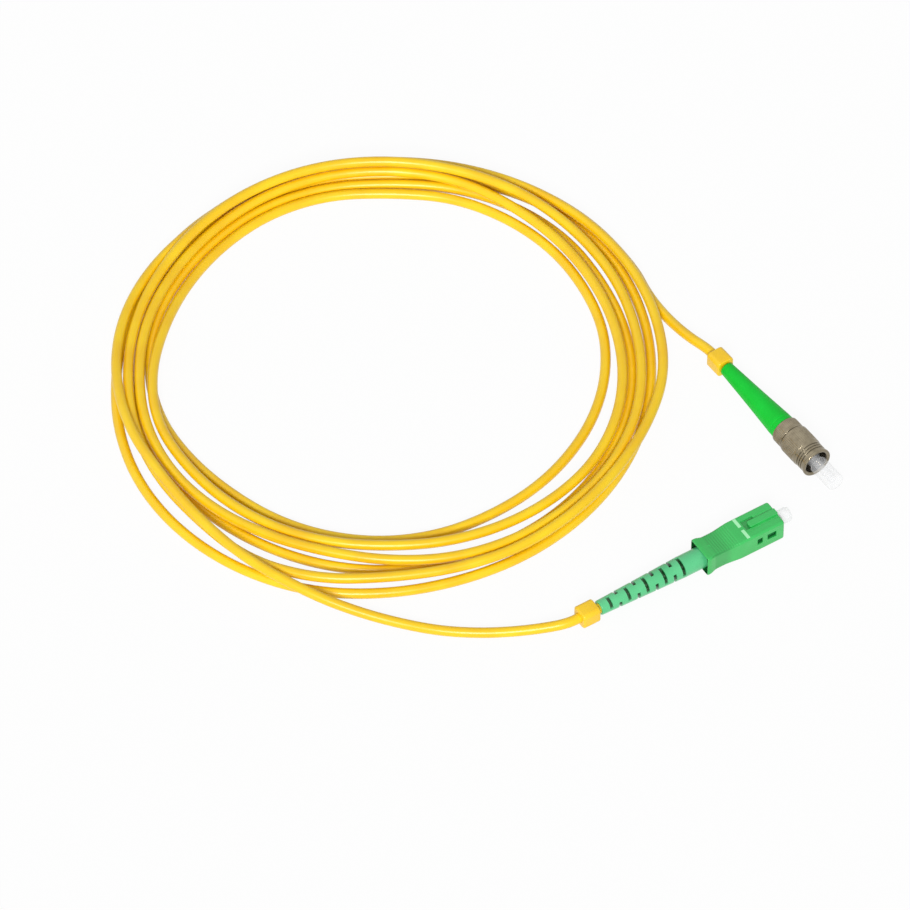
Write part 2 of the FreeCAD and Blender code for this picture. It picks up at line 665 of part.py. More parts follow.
def make_fc_front():
    """Front body: a tube with the ferrule's lip inside, the snap ring's groove and the key."""
    tube_radius = "fc_body_diameter / 2"
    body = turned("fc_front_body", (
        ("fc_body_rear", "flange_bore / 2"),
        ("fc_lip_rear", "flange_bore / 2"),
        ("fc_lip_rear", "lip_bore / 2"),
        ("fc_lip_front", "lip_bore / 2"),
        ("fc_lip_front", "fc_body_mouth / 2"),
        ("fc_body_front", "fc_body_mouth / 2"),
        ("fc_body_front", tube_radius),
        ("fc_groove_front", tube_radius),
        ("fc_groove_front", "fc_groove_diameter / 2"),
        ("fc_groove_rear", "fc_groove_diameter / 2"),
        ("fc_groove_rear", tube_radius),
        ("fc_body_rear", tube_radius),
    ))
    wall = "( fc_body_diameter - fc_body_mouth ) / 4"
    block(body, "Additive", "fc_key", ("fc_body_front - fc_key_length", "fc_body_front"),
          centred("fc_key_width"), (f"{tube_radius} - {wall}", f"{tube_radius} + fc_key_height"))
    return body


def make_fc_ring():
    """Split snap ring in the front body's groove, which holds the nut on."""
    body = tube("fc_snap_ring", ("fc_ring_rear", "fc_ring_front"), "fc_ring_diameter",
                "( fc_groove_diameter + 2 * running_clearance )")
    block(body, "Subtractive", "fc_ring_opening", ("fc_ring_rear", "fc_ring_front"),
          centred("fc_ring_split"), ("-fc_ring_diameter", "0"))
    return body


def make_fc_nut():
    """Coupling nut: rear wall, pocket for the snap ring, relief and inside thread, lines outside."""
    outer = "fc_nut_diameter / 2"
    chamfer = "fc_nut_chamfer"
    hole = "fc_body_diameter / 2 + fc_nut_air"
    pocket = "fc_ring_diameter / 2 + fc_nut_air"
    corners = [
        ("fc_nut_rear", hole),
        ("fc_pocket_rear", hole),
        ("fc_pocket_rear", pocket),
        ("fc_pocket_front", pocket),
        ("fc_pocket_front", hole),
        ("fc_relief_rear", hole),
        ("fc_relief_rear", "fc_nut_relief / 2"),
        ("fc_thread_rear", "fc_nut_relief / 2"),
        ("fc_thread_rear", "fc_thread_bore / 2"),
        ("fc_nut_front", "fc_thread_bore / 2"),
        ("fc_nut_front", f"{outer} - {chamfer}"),
        (f"fc_nut_front - {chamfer}", outer),
    ]
    for index in range(FC_LINE_COUNT):
        front = f"fc_nut_front - fc_line_place - {index} * fc_line_pitch"
        rear = f"{front} - fc_line_width"
        corners += [
            (front, outer),
            (front, f"{outer} - fc_line_depth"),
            (rear, f"{outer} - fc_line_depth"),
            (rear, outer),
        ]
    corners += [
        (f"fc_nut_rear + {chamfer}", outer),
        ("fc_nut_rear", f"{outer} - {chamfer}"),
    ]
    return turned("fc_coupling_nut", corners)


def make_fc_cap():
    """Clear dust cap: a neck round the ferrule and a thicker grip in front."""
    edge = "ferrule_chamfer"
    return turned("fc_dust_cap", (
        ("fc_cap_rear", "cap_bore / 2"),
        ("fc_grip_front - fc_cap_end", "cap_bore / 2"),
        ("fc_grip_front - fc_cap_end", "0"),
        ("fc_grip_front", "0"),
        ("fc_grip_front", f"fc_cap_head / 2 - {edge}"),
        (f"fc_grip_front - {edge}", "fc_cap_head / 2"),
        ("fc_grip_rear", "fc_cap_head / 2"),
        ("fc_grip_rear", "fc_cap_neck / 2"),
        ("fc_cap_rear", "fc_cap_neck / 2"),
    ))


def make_fc_plug():
    """Every piece of the screw-on plug, along its own axis."""
    barrel = ("fc_barrel_rear", "fc_barrel_front")
    inset = ("fc_barrel_rear + crimp_inset", "fc_barrel_front - crimp_inset")
    return [
        make_fc_boot(),
        rod("cord_end_fc", ("0", "fc_barrel_rear"), "cord_diameter"),
        make_fc_rear(),
        tube("fc_yarn_fold", barrel, "crimp_bore", "barrel_diameter"),
        tube("fc_crimp_sleeve", inset, "crimp_outside", "crimp_bore"),
        rod("fc_buffered_fibre", ("fc_barrel_rear", "fc_ferrule_rear - 1.1"), "buffer_diameter"),
        make_fc_front(),
        ferrule_holder("fc_ferrule_holder", "fc_head_rear", "fc_head_front",
                       "fc_tail_length", "fc_head_diameter"),
        ferrule("fc_ferrule", "fc_ferrule_rear", "fc_ferrule_tip"),
        make_spring("fc_spring", "fc_spring_rear + spring_air", "fc_head_rear - spring_air"),
        make_fc_ring(),
        make_fc_nut(),
        make_fc_cap(),
        marker_collar("cable_marker_fc", "-fc_marker_gap"),
    ]


# Springs, coil and free stretches: tubes along lines and arcs

def arc_between(start, heading, end):
    """The arc that leaves start along heading and reaches end."""
    chord = end - start
    along = Vector(chord).normalize()
    side = heading - along * heading.dot(along)
    if side.Length < 1e-7:
        return Part.LineSegment(start, end).toShape()
    half_turn = math.acos(max(-1.0, min(1.0, heading.dot(along))))
    bulge = 0.5 * chord.Length * math.tan(0.5 * half_turn)
    middle = (start + end) * 0.5 + side.normalize() * bulge
    return Part.Arc(start, middle, end).toShape()


def biarc(start, start_heading, end, end_heading):
    """Two arcs that join two points along given headings."""
    gap = end - start
    both = start_heading + end_heading
    slope = gap.dot(both)
    bend = 2.0 * (1.0 - start_heading.dot(end_heading))
    if bend < 1e-9:
        reach = gap.dot(gap) / (4.0 * gap.dot(end_heading))
    else:
        reach = (-slope + math.sqrt(slope * slope + bend * gap.dot(gap))) / bend
    joint = (start + end + (start_heading - end_heading) * reach) * 0.5
    back = arc_between(end, end_heading * -1.0, joint)
    ends = [vertex.Point for vertex in back.Vertexes]
    middle = back.valueAt(0.5 * (back.FirstParameter + back.LastParameter))
    second = Part.Arc(joint, middle, end).toShape() if len(ends) == 2 else back
    return [arc_between(start, start_heading, joint), second]


def wound_path(knots, lead):
    """A straight lead, a biarc from each knot to the next, and a straight lead."""
    first, first_heading = knots[0]
    last, last_heading = knots[-1]
    edges = [Part.LineSegment(first - first_heading * lead, first).toShape()]
    for (start, start_heading), (end, end_heading) in zip(knots, knots[1:]):
        edges += biarc(start, start_heading, end, end_heading)
    edges.append(Part.LineSegment(last, last + last_heading * lead).toShape())
    return edges


def run_path(points):
    """Straight runs joined by tangent arcs as large as the runs allow; returns edges and radii."""
    edges = []
    radii = []
    here = points[0]
    for before, corner, after in zip(points, points[1:], points[2:]):
        arriving = (corner - before).normalize()
        leaving = (after - corner).normalize()
        half_turn = 0.5 * arriving.getAngle(leaving)
        tangent = ARC_SHARE * min((corner - before).Length, (after - corner).Length)
        radius = tangent / math.tan(half_turn)
        start = corner - arriving * tangent
        end = corner + leaving * tangent
        inwards = (leaving - arriving).normalize()
        middle = corner + inwards * (radius / math.cos(half_turn) - radius)
        edges.append(Part.LineSegment(here, start).toShape())
        edges.append(Part.Arc(start, middle, end).toShape())
        radii.append(radius)
        here = end
    edges.append(Part.LineSegment(here, points[-1]).toShape())
    return edges, radii


def run_lengths(points):
    """The lengths of the straight runs from corner to corner."""
    return [round((after - before).Length, 1) for before, after in zip(points, points[1:])]


def swept(label, edges, diameter):
    """A round solid along a path of edges."""
    path = Part.Wire(edges)
    start = edges[0].valueAt(edges[0].FirstParameter)
    heading = edges[0].tangentAt(edges[0].FirstParameter)
    section = Part.Wire([Part.Circle(start, heading, 0.5 * diameter).toShape()])
    shell = Part.BRepOffsetAPI.MakePipeShell(path)
    shell.add(section)
    shell.build()
    shell.makeSolid()
    solid = shell.shape()
    expected = math.pi * 0.25 * diameter ** 2 * path.Length
    print(f"{label}: length {path.Length:.1f}, volume {solid.Volume:.1f}, section x length {expected:.1f}")
    piece = DOC.addObject("Part::Feature", label)
    piece.Label = label
    piece.Shape = solid
    return piece


def samples(edges):
    """Points along a path, and how far along it each lies."""
    points = []
    reach = []
    gone = 0.0
    for edge in edges:
        count = max(2, SAMPLES_AN_EDGE if edge.Length > 10 else 4)
        for step, point in enumerate(edge.discretize(Number=count)[:-1]):
            points.append(point)
            reach.append(gone + edge.Length * step / (count - 1))
        gone += edge.Length
    return points, reach


def least_gap(first, second, diameter, skip):
    """The least air between two tubes on sampled points, or of one tube to itself past skip."""
    points, reach = samples(first)
    others, other_reach = samples(second)
    least = math.inf
    for point, along in zip(points, reach):
        for other, other_along in zip(others, other_reach):
            if skip and abs(along - other_along) < skip:
                continue
            gap = point.distanceToPoint(other) - diameter
            if gap < least:
                least = gap
    return least


def make_spring(label, low, high):
    """A coil spring with closed-off straight ends left out: one helix of half-turn biarcs."""
    radius = 0.5 * size("spring_diameter")
    wire = size("spring_wire")
    start = size(low) + 0.5 * wire
    pitch = (size(high) - 0.5 * wire - start) / SPRING_TURNS
    knots = []
    for step in range(2 * SPRING_TURNS + 1):
        angle = math.pi * step
        point = Vector(start + pitch * 0.5 * step, radius * math.cos(angle), radius * math.sin(angle))
        heading = Vector(pitch / (2 * math.pi), -radius * math.sin(angle), radius * math.cos(angle))
        knots.append((point, heading.normalize()))
    edges = []
    for (here, here_heading), (there, there_heading) in zip(knots, knots[1:]):
        edges += biarc(here, here_heading, there, there_heading)
    return swept(label, edges, wire)


def coil_stations():
    """Angle and reach of every knot of the coil: its start, each quarter turn and its end."""
    stations = [(size("coil_start"), FIRST_REACH)]
    quarter = 360.0 / KNOTS_A_TURN
    reaches = [reach for turn in TURN_REACH for reach in turn]
    stations += [(FIRST_SIDE + quarter * number, reach) for number, reach in enumerate(reaches)]
    stations.append((size("coil_end"), LAST_REACH))
    return stations


def layer_share(angle):
    """How far the cord has climbed from the lower layer to the upper, 0 to 1."""
    low = size("coil_climb_start")
    share = (angle - low) / (size("coil_climb_end") - low)
    share = max(0.0, min(1.0, share))
    return share * share * (3.0 - 2.0 * share)


def coil_knots():
    """Points and headings of the coil: radius eased from knot to knot, height by layer."""
    stations = coil_stations()
    middle = Vector(size("coil_middle_x"), size("coil_middle_y"), 0)
    floor = 0.5 * size("cord_diameter")
    rise = size("cord_diameter + turn_clearance")
    climb = math.radians(size("coil_climb_end - coil_climb_start"))
    knots = []
    for number, (angle, reach) in enumerate(stations):
        before = stations[max(number - 1, 0)]
        after = stations[min(number + 1, len(stations) - 1)]
        slope = (after[1] - before[1]) / math.radians(after[0] - before[0])
        share = layer_share(angle)
        steep = 6.0 * share * (1.0 - share) * rise / climb if 0.0 < share < 1.0 else 0.0
        turn = math.radians(angle)
        out = Vector(math.cos(turn), math.sin(turn), 0)
        round_ = Vector(-math.sin(turn), math.cos(turn), 0)
        point = middle + out * reach + Vector(0, 0, floor + rise * share)
        heading = out * slope + round_ * reach + Vector(0, 0, steep)
        knots.append((point, heading.normalize()))
    return knots


def plug_placement(kind):
    """Where a plug lies: its boot's tip and its heading."""
    base = Vector(
        size(f"coil_middle_x + {kind}_tip_x"),
        size(f"coil_middle_y + {kind}_tip_y"),
        size(f"{kind}_axis_height"),
    )
    return FreeCAD.Placement(base, FreeCAD.Rotation(Vector(0, 0, 1), size(f"{kind}_heading")))


def route_points(kind, coil_end, heading, first_run, middle_points, last_run):
    """The corners of a free stretch from the coil's end to the boot's tip."""
    shift = Vector(size("coil_middle_x"), size("coil_middle_y"), 0)
    placement = plug_placement(kind)
    corner = placement.multVec(Vector(-last_run, 0, 0))
    tip = placement.multVec(Vector(0, 0, 0))
    middle = [shift + Vector(*point) for point in middle_points]
    return [coil_end, coil_end + heading * first_run] + middle + [corner, tip]


def make_cord():
    """The coil and the two free stretches."""
    diameter = size("cord_diameter")
    knots = coil_knots()
    coil = wound_path(knots, diameter)
    begin, begin_heading = knots[0]
    finish, finish_heading = knots[-1]
    back = begin_heading * -1.0
    fc_points = route_points("fc", begin + back * diameter, back,
                             FC_FIRST_RUN, FC_ROUTE, FC_LAST_RUN)
    sc_points = route_points("sc", finish + finish_heading * diameter, finish_heading,
                             SC_FIRST_RUN, SC_ROUTE, SC_LAST_RUN)
    fc_run, fc_radii = run_path(fc_points)
    sc_run, sc_radii = run_path(sc_points)
    print("runs to the screw-on plug:", run_lengths(fc_points))
    print("runs to the push-pull plug:", run_lengths(sc_points))
    print("radii of the run to the screw-on plug:", [round(radius, 1) for radius in fc_radii])
    print("radii of the run to the push-pull plug:", [round(radius, 1) for radius in sc_radii])
    print("coil's least gap to itself:", round(least_gap(coil, coil, diameter, TURN_SKIP * diameter), 2))
    print("coil to the push-pull run, past their joint:",
          round(least_gap(coil[:-6], sc_run[2:], diameter, 0.0), 2))
    print("coil to the screw-on run, past their joint:",
          round(least_gap(coil[6:], fc_run, diameter, 0.0), 2))
    return [
        swept("cord_coil", coil, diameter),
        swept("cord_run_fc", fc_run, diameter),
        swept("cord_run_sc", sc_run, diameter),
    ]


def own_turn(angle):
    """A turn about a plug's own axis."""
    return FreeCAD.Placement(Vector(0, 0, 0), FreeCAD.Rotation(Vector(1, 0, 0), size(angle)))


def place(pieces, placement):
    """Move finished pieces from their plug's axis to where the plug lies."""
    for piece in pieces:
        piece.Placement = placement


def write_parts(pieces):
    """Check every object and shape, then write one file for each piece."""
    DOC.recompute()
    broken = [item.Name for item in DOC.Objects if "Invalid" in item.State or "Error" in item.State]
    if broken:
        raise RuntimeError(f"objects that failed: {broken}")
    for piece in pieces:
        if piece.Shape.isNull() or not piece.Shape.isValid():
            raise RuntimeError(f"bad shape: {piece.Label}")
    os.makedirs("parts", exist_ok=True)
    for piece in pieces:
        piece.Shape.exportStep(os.path.join("parts", piece.Label + ".step"))
    print(len(pieces), "pieces written")


SC_PLUG = make_sc_plug()
FC_PLUG = make_fc_plug()
CORD = make_cord()
place(SC_PLUG, plug_placement("sc"))
place(SC_PLUG[:1], plug_placement("sc").multiply(own_turn("sc_boot_turn")))
place(FC_PLUG, plug_placement("fc"))
write_parts(SC_PLUG + FC_PLUG + CORD)
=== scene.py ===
"""Looks for a simplex fibre patch cord: a loose coil of yellow cord, a green square push-pull plug
on one end and a green-booted screw-on plug on the other, both with their clear dust caps on.

Lengths inside the classes are millimetres along each plug's own axis, counted from the tip of its
boot; finished meshes are in metres in the part's frame.
"""

import logging
import math
from collections.abc import Callable
from dataclasses import dataclass
from enum import Enum

import bmesh
import bpy
import numpy as np
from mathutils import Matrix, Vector


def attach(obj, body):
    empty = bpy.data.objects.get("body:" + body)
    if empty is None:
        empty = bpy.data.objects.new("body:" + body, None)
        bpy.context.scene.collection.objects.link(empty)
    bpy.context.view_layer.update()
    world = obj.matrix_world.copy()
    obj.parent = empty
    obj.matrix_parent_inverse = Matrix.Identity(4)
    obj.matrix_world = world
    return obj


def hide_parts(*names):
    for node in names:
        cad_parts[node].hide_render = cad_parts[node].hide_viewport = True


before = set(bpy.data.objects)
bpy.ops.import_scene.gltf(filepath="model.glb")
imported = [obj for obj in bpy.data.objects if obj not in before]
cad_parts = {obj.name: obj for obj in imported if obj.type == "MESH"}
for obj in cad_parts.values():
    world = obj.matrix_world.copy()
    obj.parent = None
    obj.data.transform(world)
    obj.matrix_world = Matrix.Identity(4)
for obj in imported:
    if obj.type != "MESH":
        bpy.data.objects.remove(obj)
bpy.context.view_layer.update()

LOG = logging.getLogger("patch_cord")
# A millimetre in metres
MM = 0.001
# Radii in mm that differ by less count as one
TINY = 1e-6
QUARTER_TURN = 0.5 * math.pi
# Degrees that the camera looks down by
CAMERA_ELEVATION = 50.4
# Points round a turned piece
ROUND_STEPS = 96
# Half the size of an end that closes to a point, and the rounding of its corners, in mm
POLE, POLE_ROUNDING = 1e-4, 1e-5
# The largest share of a side that the rounding of one corner takes
MOST_ROUNDED = 0.45
# How deep a cut is where its painted shade is darkest, in mm
FULL_SHADE_DEPTH = 0.5
# Radius of the hole in a dust cap that takes the ferrule, in mm
CAP_BORE = 1.27
Settings = dict[str, object]
Relief = Callable[[np.ndarray, np.ndarray, np.ndarray], np.ndarray]


# Shader arithmetic

class Signal:
    """A shader socket that Python arithmetic can be written on; each operation adds a Math node."""

    def __init__(self, tree: bpy.types.NodeTree, socket: bpy.types.NodeSocket) -> None:
        """Wrap an output socket of a material's node tree."""
        self.tree = tree
        self.socket = socket

    def _math(self, operation: str, first: object, second: object = 0.0) -> "Signal":
        """Add one Math node.

        Args:
            operation: The Math node's operation.
            first: Its first value, a Signal or a number.
            second: Its second value, a Signal or a number.

        Returns:
            The node's result.
        """
        node = self.tree.nodes.new("ShaderNodeMath")
        node.operation = operation
        for index, value in enumerate((first, second)):
            if isinstance(value, Signal):
                self.tree.links.new(value.socket, node.inputs[index])
            else:
                node.inputs[index].default_value = float(value)
        return Signal(self.tree, node.outputs[0])

    def __add__(self, other: object) -> "Signal":
        """Sum."""
        return self._math("ADD", self, other)

    __radd__ = __add__

    def __sub__(self, other: object) -> "Signal":
        """Difference."""
        return self._math("SUBTRACT", self, other)

    def __rsub__(self, other: object) -> "Signal":
        """Difference with the number first."""
        return self._math("SUBTRACT", other, self)

    def __mul__(self, other: object) -> "Signal":
        """Product."""
        return self._math("MULTIPLY", self, other)

    __rmul__ = __mul__

    def clamp(self) -> "Signal":
        """Keep the value between nought and one."""
        return self._math("MINIMUM", self._math("MAXIMUM", self, 0.0), 1.0)

    def spread(self, gain: float) -> "Signal":
        """Stretch noise about its middle, (noise - 1/2) * gain + 1/2, and clamp it."""
        return (self * gain - 0.5 * (gain - 1.0)).clamp()

    def about(self, middle: float, change: float) -> "Signal":
        """Move noise to another middle: (noise - 1/2) * change + middle."""
        return self * change + (middle - 0.5 * change)


class Recipe:
    """A material or sky under construction: one method adds every node that isn't arithmetic."""

    def __init__(self, name: str, sky: bool = False) -> None:
        """Start an empty material or sky.

        Args:
            name: Its name.
            sky: Whether it is the sky.
        """
        self.output = "World" if sky else "Material"
        self.owner = bpy.data.worlds.new(name) if sky else bpy.data.materials.new(name)
        self.owner.use_nodes = True
        self.tree = self.owner.node_tree
        self.tree.nodes.clear()

    def node(self, kind: str, settings: Settings | None = None, output: str = "",
             **sockets: object) -> Signal:
        """Add a node.

        Args:
            kind: The node's type without its ShaderNode prefix.
            settings: Properties set before the sockets; "stops" fills a colour ramp.
            output: Which output to hand back; otherwise the first that the settings leave on.
            **sockets: Values or Signals by input name, with underscores for spaces.

        Returns:
            The chosen output.
        """
        node = self.tree.nodes.new("ShaderNode" + kind)
        for key, value in (settings or {}).items():
            if key == "stops":
                self._fill_ramp(node.color_ramp, value)
            else:
                setattr(node, key, value)
        for key, value in sockets.items():
            name = key.replace("_", " ")
            socket = next(item for item in node.inputs if item.name == name and item.enabled)
            if isinstance(value, Signal):
                self.tree.links.new(value.socket, socket)
            else:
                socket.default_value = value
        if output:
            return Signal(self.tree, node.outputs[output])
        return Signal(self.tree, next(item for item in node.outputs if item.enabled))

    @staticmethod
    def _fill_ramp(ramp: bpy.types.ColorRamp, stops: list[tuple[float, tuple[float, ...]]]) -> None:
        """Set a ramp's stops.

        Args:
            ramp: The colour ramp.
            stops: Pairs of place and colour.
        """
        while len(ramp.elements) < len(stops):
            ramp.elements.new(0.5)
        for element, (place, colour) in zip(ramp.elements, stops):
            element.position = place
            element.color = colour

    def place(self) -> Signal:
        """The point on the object, in metres."""
        return self.node("TexCoord", output="Object")

    def noise(self, scale: float, detail: float = 3.0) -> Signal:
        """Soft noise of so many cells per metre and octaves, about one half on average."""
        return self.node("TexNoise", Vector=self.place(), Scale=scale, Detail=detail)

    def depth(self) -> Signal:
        """How much painted shade the surface gets, 0 to 1, from the mesh's own measure of how deep
        it lies.
        """
        return self.node("Attribute", {"attribute_name": "shade"}, "Fac").clamp()

    def tint(self, share: Signal, dark: tuple[float, ...], light: tuple[float, ...]) -> Signal:
        """Blend two colours: a share of nought gives the dark one, one the light one."""
        return self.node("ValToRGB", {"stops": [(0.0, dark), (1.0, light)]}, Fac=share)

    def blend(self, share: Signal, first: Signal, second: tuple[float, ...]) -> Signal:
        """Mix a colour signal with a plain colour: a share of one gives the plain colour."""
        return self.node("Mix", {"data_type": "RGBA"}, Factor=share, A=first, B=second)

    def paint_recess_shade(self, colour: Signal, painted_shade: tuple[float, ...] | None) -> Signal:
        """Paint shade: blend a colour into the painted shade colour where the surface lies deep, if
        any.
        """
        return self.blend(self.depth(), colour, painted_shade) if painted_shade else colour

    def seen(self) -> Signal:
        """Tell what the camera, a reflection or a clear piece looks at from other light.

        Returns:
            One for those three kinds of ray, nought for the others.
        """
        rays = [self.node("LightPath", output=kind)
                for kind in ("Is Camera Ray", "Is Glossy Ray", "Is Transmission Ray")]
        return (rays[0] + rays[1] + rays[2]).clamp()

    def finish(self, shader: Signal) -> bpy.types.Material | bpy.types.World:
        """Connect the surface.

        Args:
            shader: The surface shader.

        Returns:
            The finished material or sky.
        """
        target = self.tree.nodes.new("ShaderNodeOutput" + self.output)
        self.tree.links.new(shader.socket, target.inputs["Surface"])
        return self.owner


def linear(red: int, green: int, blue: int) -> tuple[float, float, float, float]:
    """Turn a screen colour, 0 to 255, into the linear, opaque colour that shaders take.

    Args:
        red: Red.
        green: Green.
        blue: Blue.

    Returns:
        Linear red, green and blue, and one.
    """
    def channel(value: int) -> float:
        """One channel by the sRGB curve."""
        share = value / 255.0
        return share / 12.92 if share <= 0.04045 else ((share + 0.055) / 1.055) ** 2.4
    return channel(red), channel(green), channel(blue), 1.0


def grey(level: float) -> tuple[float, float, float, float]:
    """An opaque linear grey, nought for black and one for white."""
    return level, level, level, 1.0


@dataclass(frozen=True)
class Plastic:
    """Moulded plastic: a slightly mottled colour, a fine skin, a soft coat and painted shade in
    recesses.
    """

    name: str
    dark: tuple[float, ...]
    light: tuple[float, ...]
    roughness: float = 0.42
    coat: float = 0.15
    grain_scale: float = 2600.0
    grain_depth: float = 0.00002
    grain_strength: float = 0.6
    mottle_scale: float = 90.0
    mottle_gain: float = 1.6
    gloss_change: float = 0.16
    coat_roughness: float = 0.25
    alpha: float = 1.0
    ior: float = 1.47
    # Colour of the painted shade, blended in where the surface lies deep; none for no painted shade
    painted_shade: tuple[float, ...] | None = None

    def material(self) -> bpy.types.Material:
        """Build the node material.

        Returns:
            The material.
        """
        recipe = Recipe(self.name)
        mottle = recipe.noise(self.mottle_scale)
        grain = recipe.noise(self.grain_scale, 2.0)
        colour = recipe.tint(mottle.spread(self.mottle_gain), self.dark, self.light)
        # painted shade in the hollows
        colour = recipe.paint_recess_shade(colour, self.painted_shade)
        skin = recipe.node("Bump", Height=grain, Strength=self.grain_strength,
                           Distance=self.grain_depth)
        shader = recipe.node(
            "BsdfPrincipled",
            Base_Color=colour,
            Roughness=grain.about(self.roughness, self.gloss_change),
            Normal=skin,
            Coat_Weight=self.coat,
            Coat_Roughness=self.coat_roughness,
            IOR=self.ior,
            Alpha=self.alpha,
        )
        return recipe.finish(shader)


@dataclass(frozen=True)
class Plating:
    """Nickel plate over turned brass: satin metal with fine lathe marks, warm dull patches and
    painted shade in recesses.
    """

    name: str
    dark: tuple[float, ...]
    light: tuple[float, ...]
    roughness: float = 0.3
    metallic: float = 0.85
    patch_scale: float = 700.0
    patch_gain: float = 1.8
    mark_scale: float = 5200.0
    mark_depth: float = 0.00002
    mark_strength: float = 0.5
    gloss_change: float = 0.12
    # Colour of the painted shade where the surface lies deep; none for no painted shade
    painted_shade: tuple[float, ...] | None = None

    def material(self) -> bpy.types.Material:
        """Build the node material.

        Returns:
            The material.
        """
        recipe = Recipe(self.name)
        patches = recipe.noise(self.patch_scale, 4.0)
        grain = recipe.noise(self.mark_scale, 2.0)
        colour = recipe.tint(patches.spread(self.patch_gain), self.dark, self.light)
        # painted shade in the hollows
        colour = recipe.paint_recess_shade(colour, self.painted_shade)
        marks = recipe.node("Bump", Height=grain, Strength=self.mark_strength,
                            Distance=self.mark_depth)
        shader = recipe.node(
            "BsdfPrincipled",
            Base_Color=colour,
            Metallic=self.metallic,
            Roughness=patches.about(self.roughness, self.gloss_change),
            Normal=marks,
        )
        return recipe.finish(shader)


@dataclass(frozen=True)
class Surroundings:
    """Pale floor that the camera sees as white, with the object's shadow kept."""

    name: str = "studio_floor"
    white_share: float = 0.94
    grain_scale: float = 14.0
    dark: float = 0.84
    light: float = 0.87

    def material(self) -> bpy.types.Material:
        """Build the node material.

        Returns:
            The material.
        """
        recipe = Recipe(self.name)
        paper = recipe.tint(recipe.noise(self.grain_scale), grey(self.dark), grey(self.light))
        matt = recipe.node("BsdfDiffuse", Color=paper)
        glow = recipe.node("Emission", Color=grey(1.0), Strength=1.0)
        mixed = self.mix(recipe, recipe.seen() * self.white_share, matt, glow)
        return recipe.finish(mixed)

    @staticmethod
    def mix(recipe: Recipe, share: Signal, first: Signal, second: Signal) -> Signal:
        """Mix two shaders.

        Args:
            recipe: The material under construction.
            share: Nought for the first shader, one for the second.
            first: First shader.
            second: Second shader.

        Returns:
            The mixed shader.
        """
        node = recipe.tree.nodes.new("ShaderNodeMixShader")
        for index, value in enumerate((share, first, second)):
            recipe.tree.links.new(value.socket, node.inputs[index])
        return Signal(recipe.tree, node.outputs[0])


class Finish(Enum):
    """The finishes that the cord's pieces have."""

    JACKET = Plastic("yellow_jacket", linear(241, 188, 6), linear(253, 215, 20),
                     roughness=0.36, coat=0.15)
    COLLAR = Plastic("yellow_collar", linear(244, 194, 14), linear(254, 212, 38),
                     roughness=0.34, coat=0.15)
    # The shell's last colour is painted shade, dark green, in its mouth, hollows and inside
    SHELL = Plastic("green_shell", linear(32, 172, 72), linear(60, 196, 98),
                    roughness=0.36, coat=0.3, painted_shade=linear(8, 84, 34))
    # The boot's last colour is painted shade, deep green, in the slots
    SLOTTED_BOOT = Plastic("sea_green_boot", linear(64, 184, 116), linear(104, 208, 146),
                           roughness=0.3, coat=0.4, painted_shade=linear(2, 66, 22))
    SMOOTH_BOOT = Plastic("bright_green_boot", linear(0, 188, 42), linear(12, 206, 60),
                          roughness=0.5, coat=0.0, ior=1.33)
    PRINT = Plastic("pale_mark", linear(150, 236, 168), linear(184, 250, 196),
                    roughness=0.5, coat=0.0)
    INNER = Plastic("dark_green_body", linear(22, 108, 54), linear(34, 128, 66),
                    roughness=0.45, coat=0.1)
    CAP = Plastic("clear_cap", linear(246, 247, 250), linear(253, 254, 255),
                  roughness=0.16, coat=0.3, alpha=0.3)
    CLEAR_CAP = Plastic("glassy_cap", linear(246, 247, 250), linear(253, 254, 255),
                        roughness=0.16, coat=0.3, alpha=0.2)
    CERAMIC = Plastic("white_ceramic", linear(238, 238, 232), linear(248, 248, 244),
                      roughness=0.18, coat=0.5)
    YARN = Plastic("strength_yarn", linear(206, 176, 76), linear(232, 206, 110),
                   roughness=0.6, coat=0.0, grain_scale=9000.0)
    BUFFER = Plastic("white_buffer", linear(232, 232, 228), linear(246, 246, 242),
                     roughness=0.4, coat=0.1)
    # Nickel's last colour is painted shade, dark brown, deep in the nut's mouth and in its turned
    # lines
    NICKEL = Plating("nickel_plate", linear(128, 118, 98), linear(152, 142, 120),
                     roughness=0.24, painted_shade=linear(44, 39, 30))
    BRIGHT = Plating("bright_nickel", linear(188, 184, 178), linear(226, 224, 220),
                     roughness=0.22)
    STEEL = Plating("spring_steel", linear(168, 170, 172), linear(204, 206, 208),
                    roughness=0.28)


MATERIALS: dict[Finish, bpy.types.Material] = {}


def finish_of(kind: Finish) -> bpy.types.Material:
    """The material of a finish, built once.

    Args:
        kind: The finish.

    Returns:
        Its material.
    """
    if kind not in MATERIALS:
        MATERIALS[kind] = kind.value.material()
    return MATERIALS[kind]


# Meshes

@dataclass(frozen=True)
class Axis:
    """A plug's own axis: the tip of its boot, and where it points."""

    tip: tuple[float, float, float]
    heading: float

    def to_part(self, local: np.ndarray) -> np.ndarray:
        """Turn points along the plug into the part's frame.

        Args:
            local: Points (..., 3): along, to the left and up, in mm.

        Returns:
            The points in metres: tip + along * heading + left * square to it + up.
        """
        turn = math.radians(self.heading)
        along = np.array([math.cos(turn), math.sin(turn), 0.0])
        left = np.array([-math.sin(turn), math.cos(turn), 0.0])
        up = np.array([0.0, 0.0, 1.0])
        return (np.array(self.tip) + local[..., :1] * along + local[..., 1:2] * left
                + local[..., 2:] * up) * MM

    def to_plug(self, points: np.ndarray) -> np.ndarray:
        """Turn points in the part's frame back into places along the plug.

        Args:
            points: Points (n, 3) in metres.

        Returns:
            Points (n, 3) in mm: along, to the left and up, by the inverse of the turn in to_part.
        """
        turn = math.radians(self.heading)
        east, north, up = (points / MM - np.array(self.tip)).T
        return np.stack([east * math.cos(turn) + north * math.sin(turn),
                         north * math.cos(turn) - east * math.sin(turn), up], axis=-1)


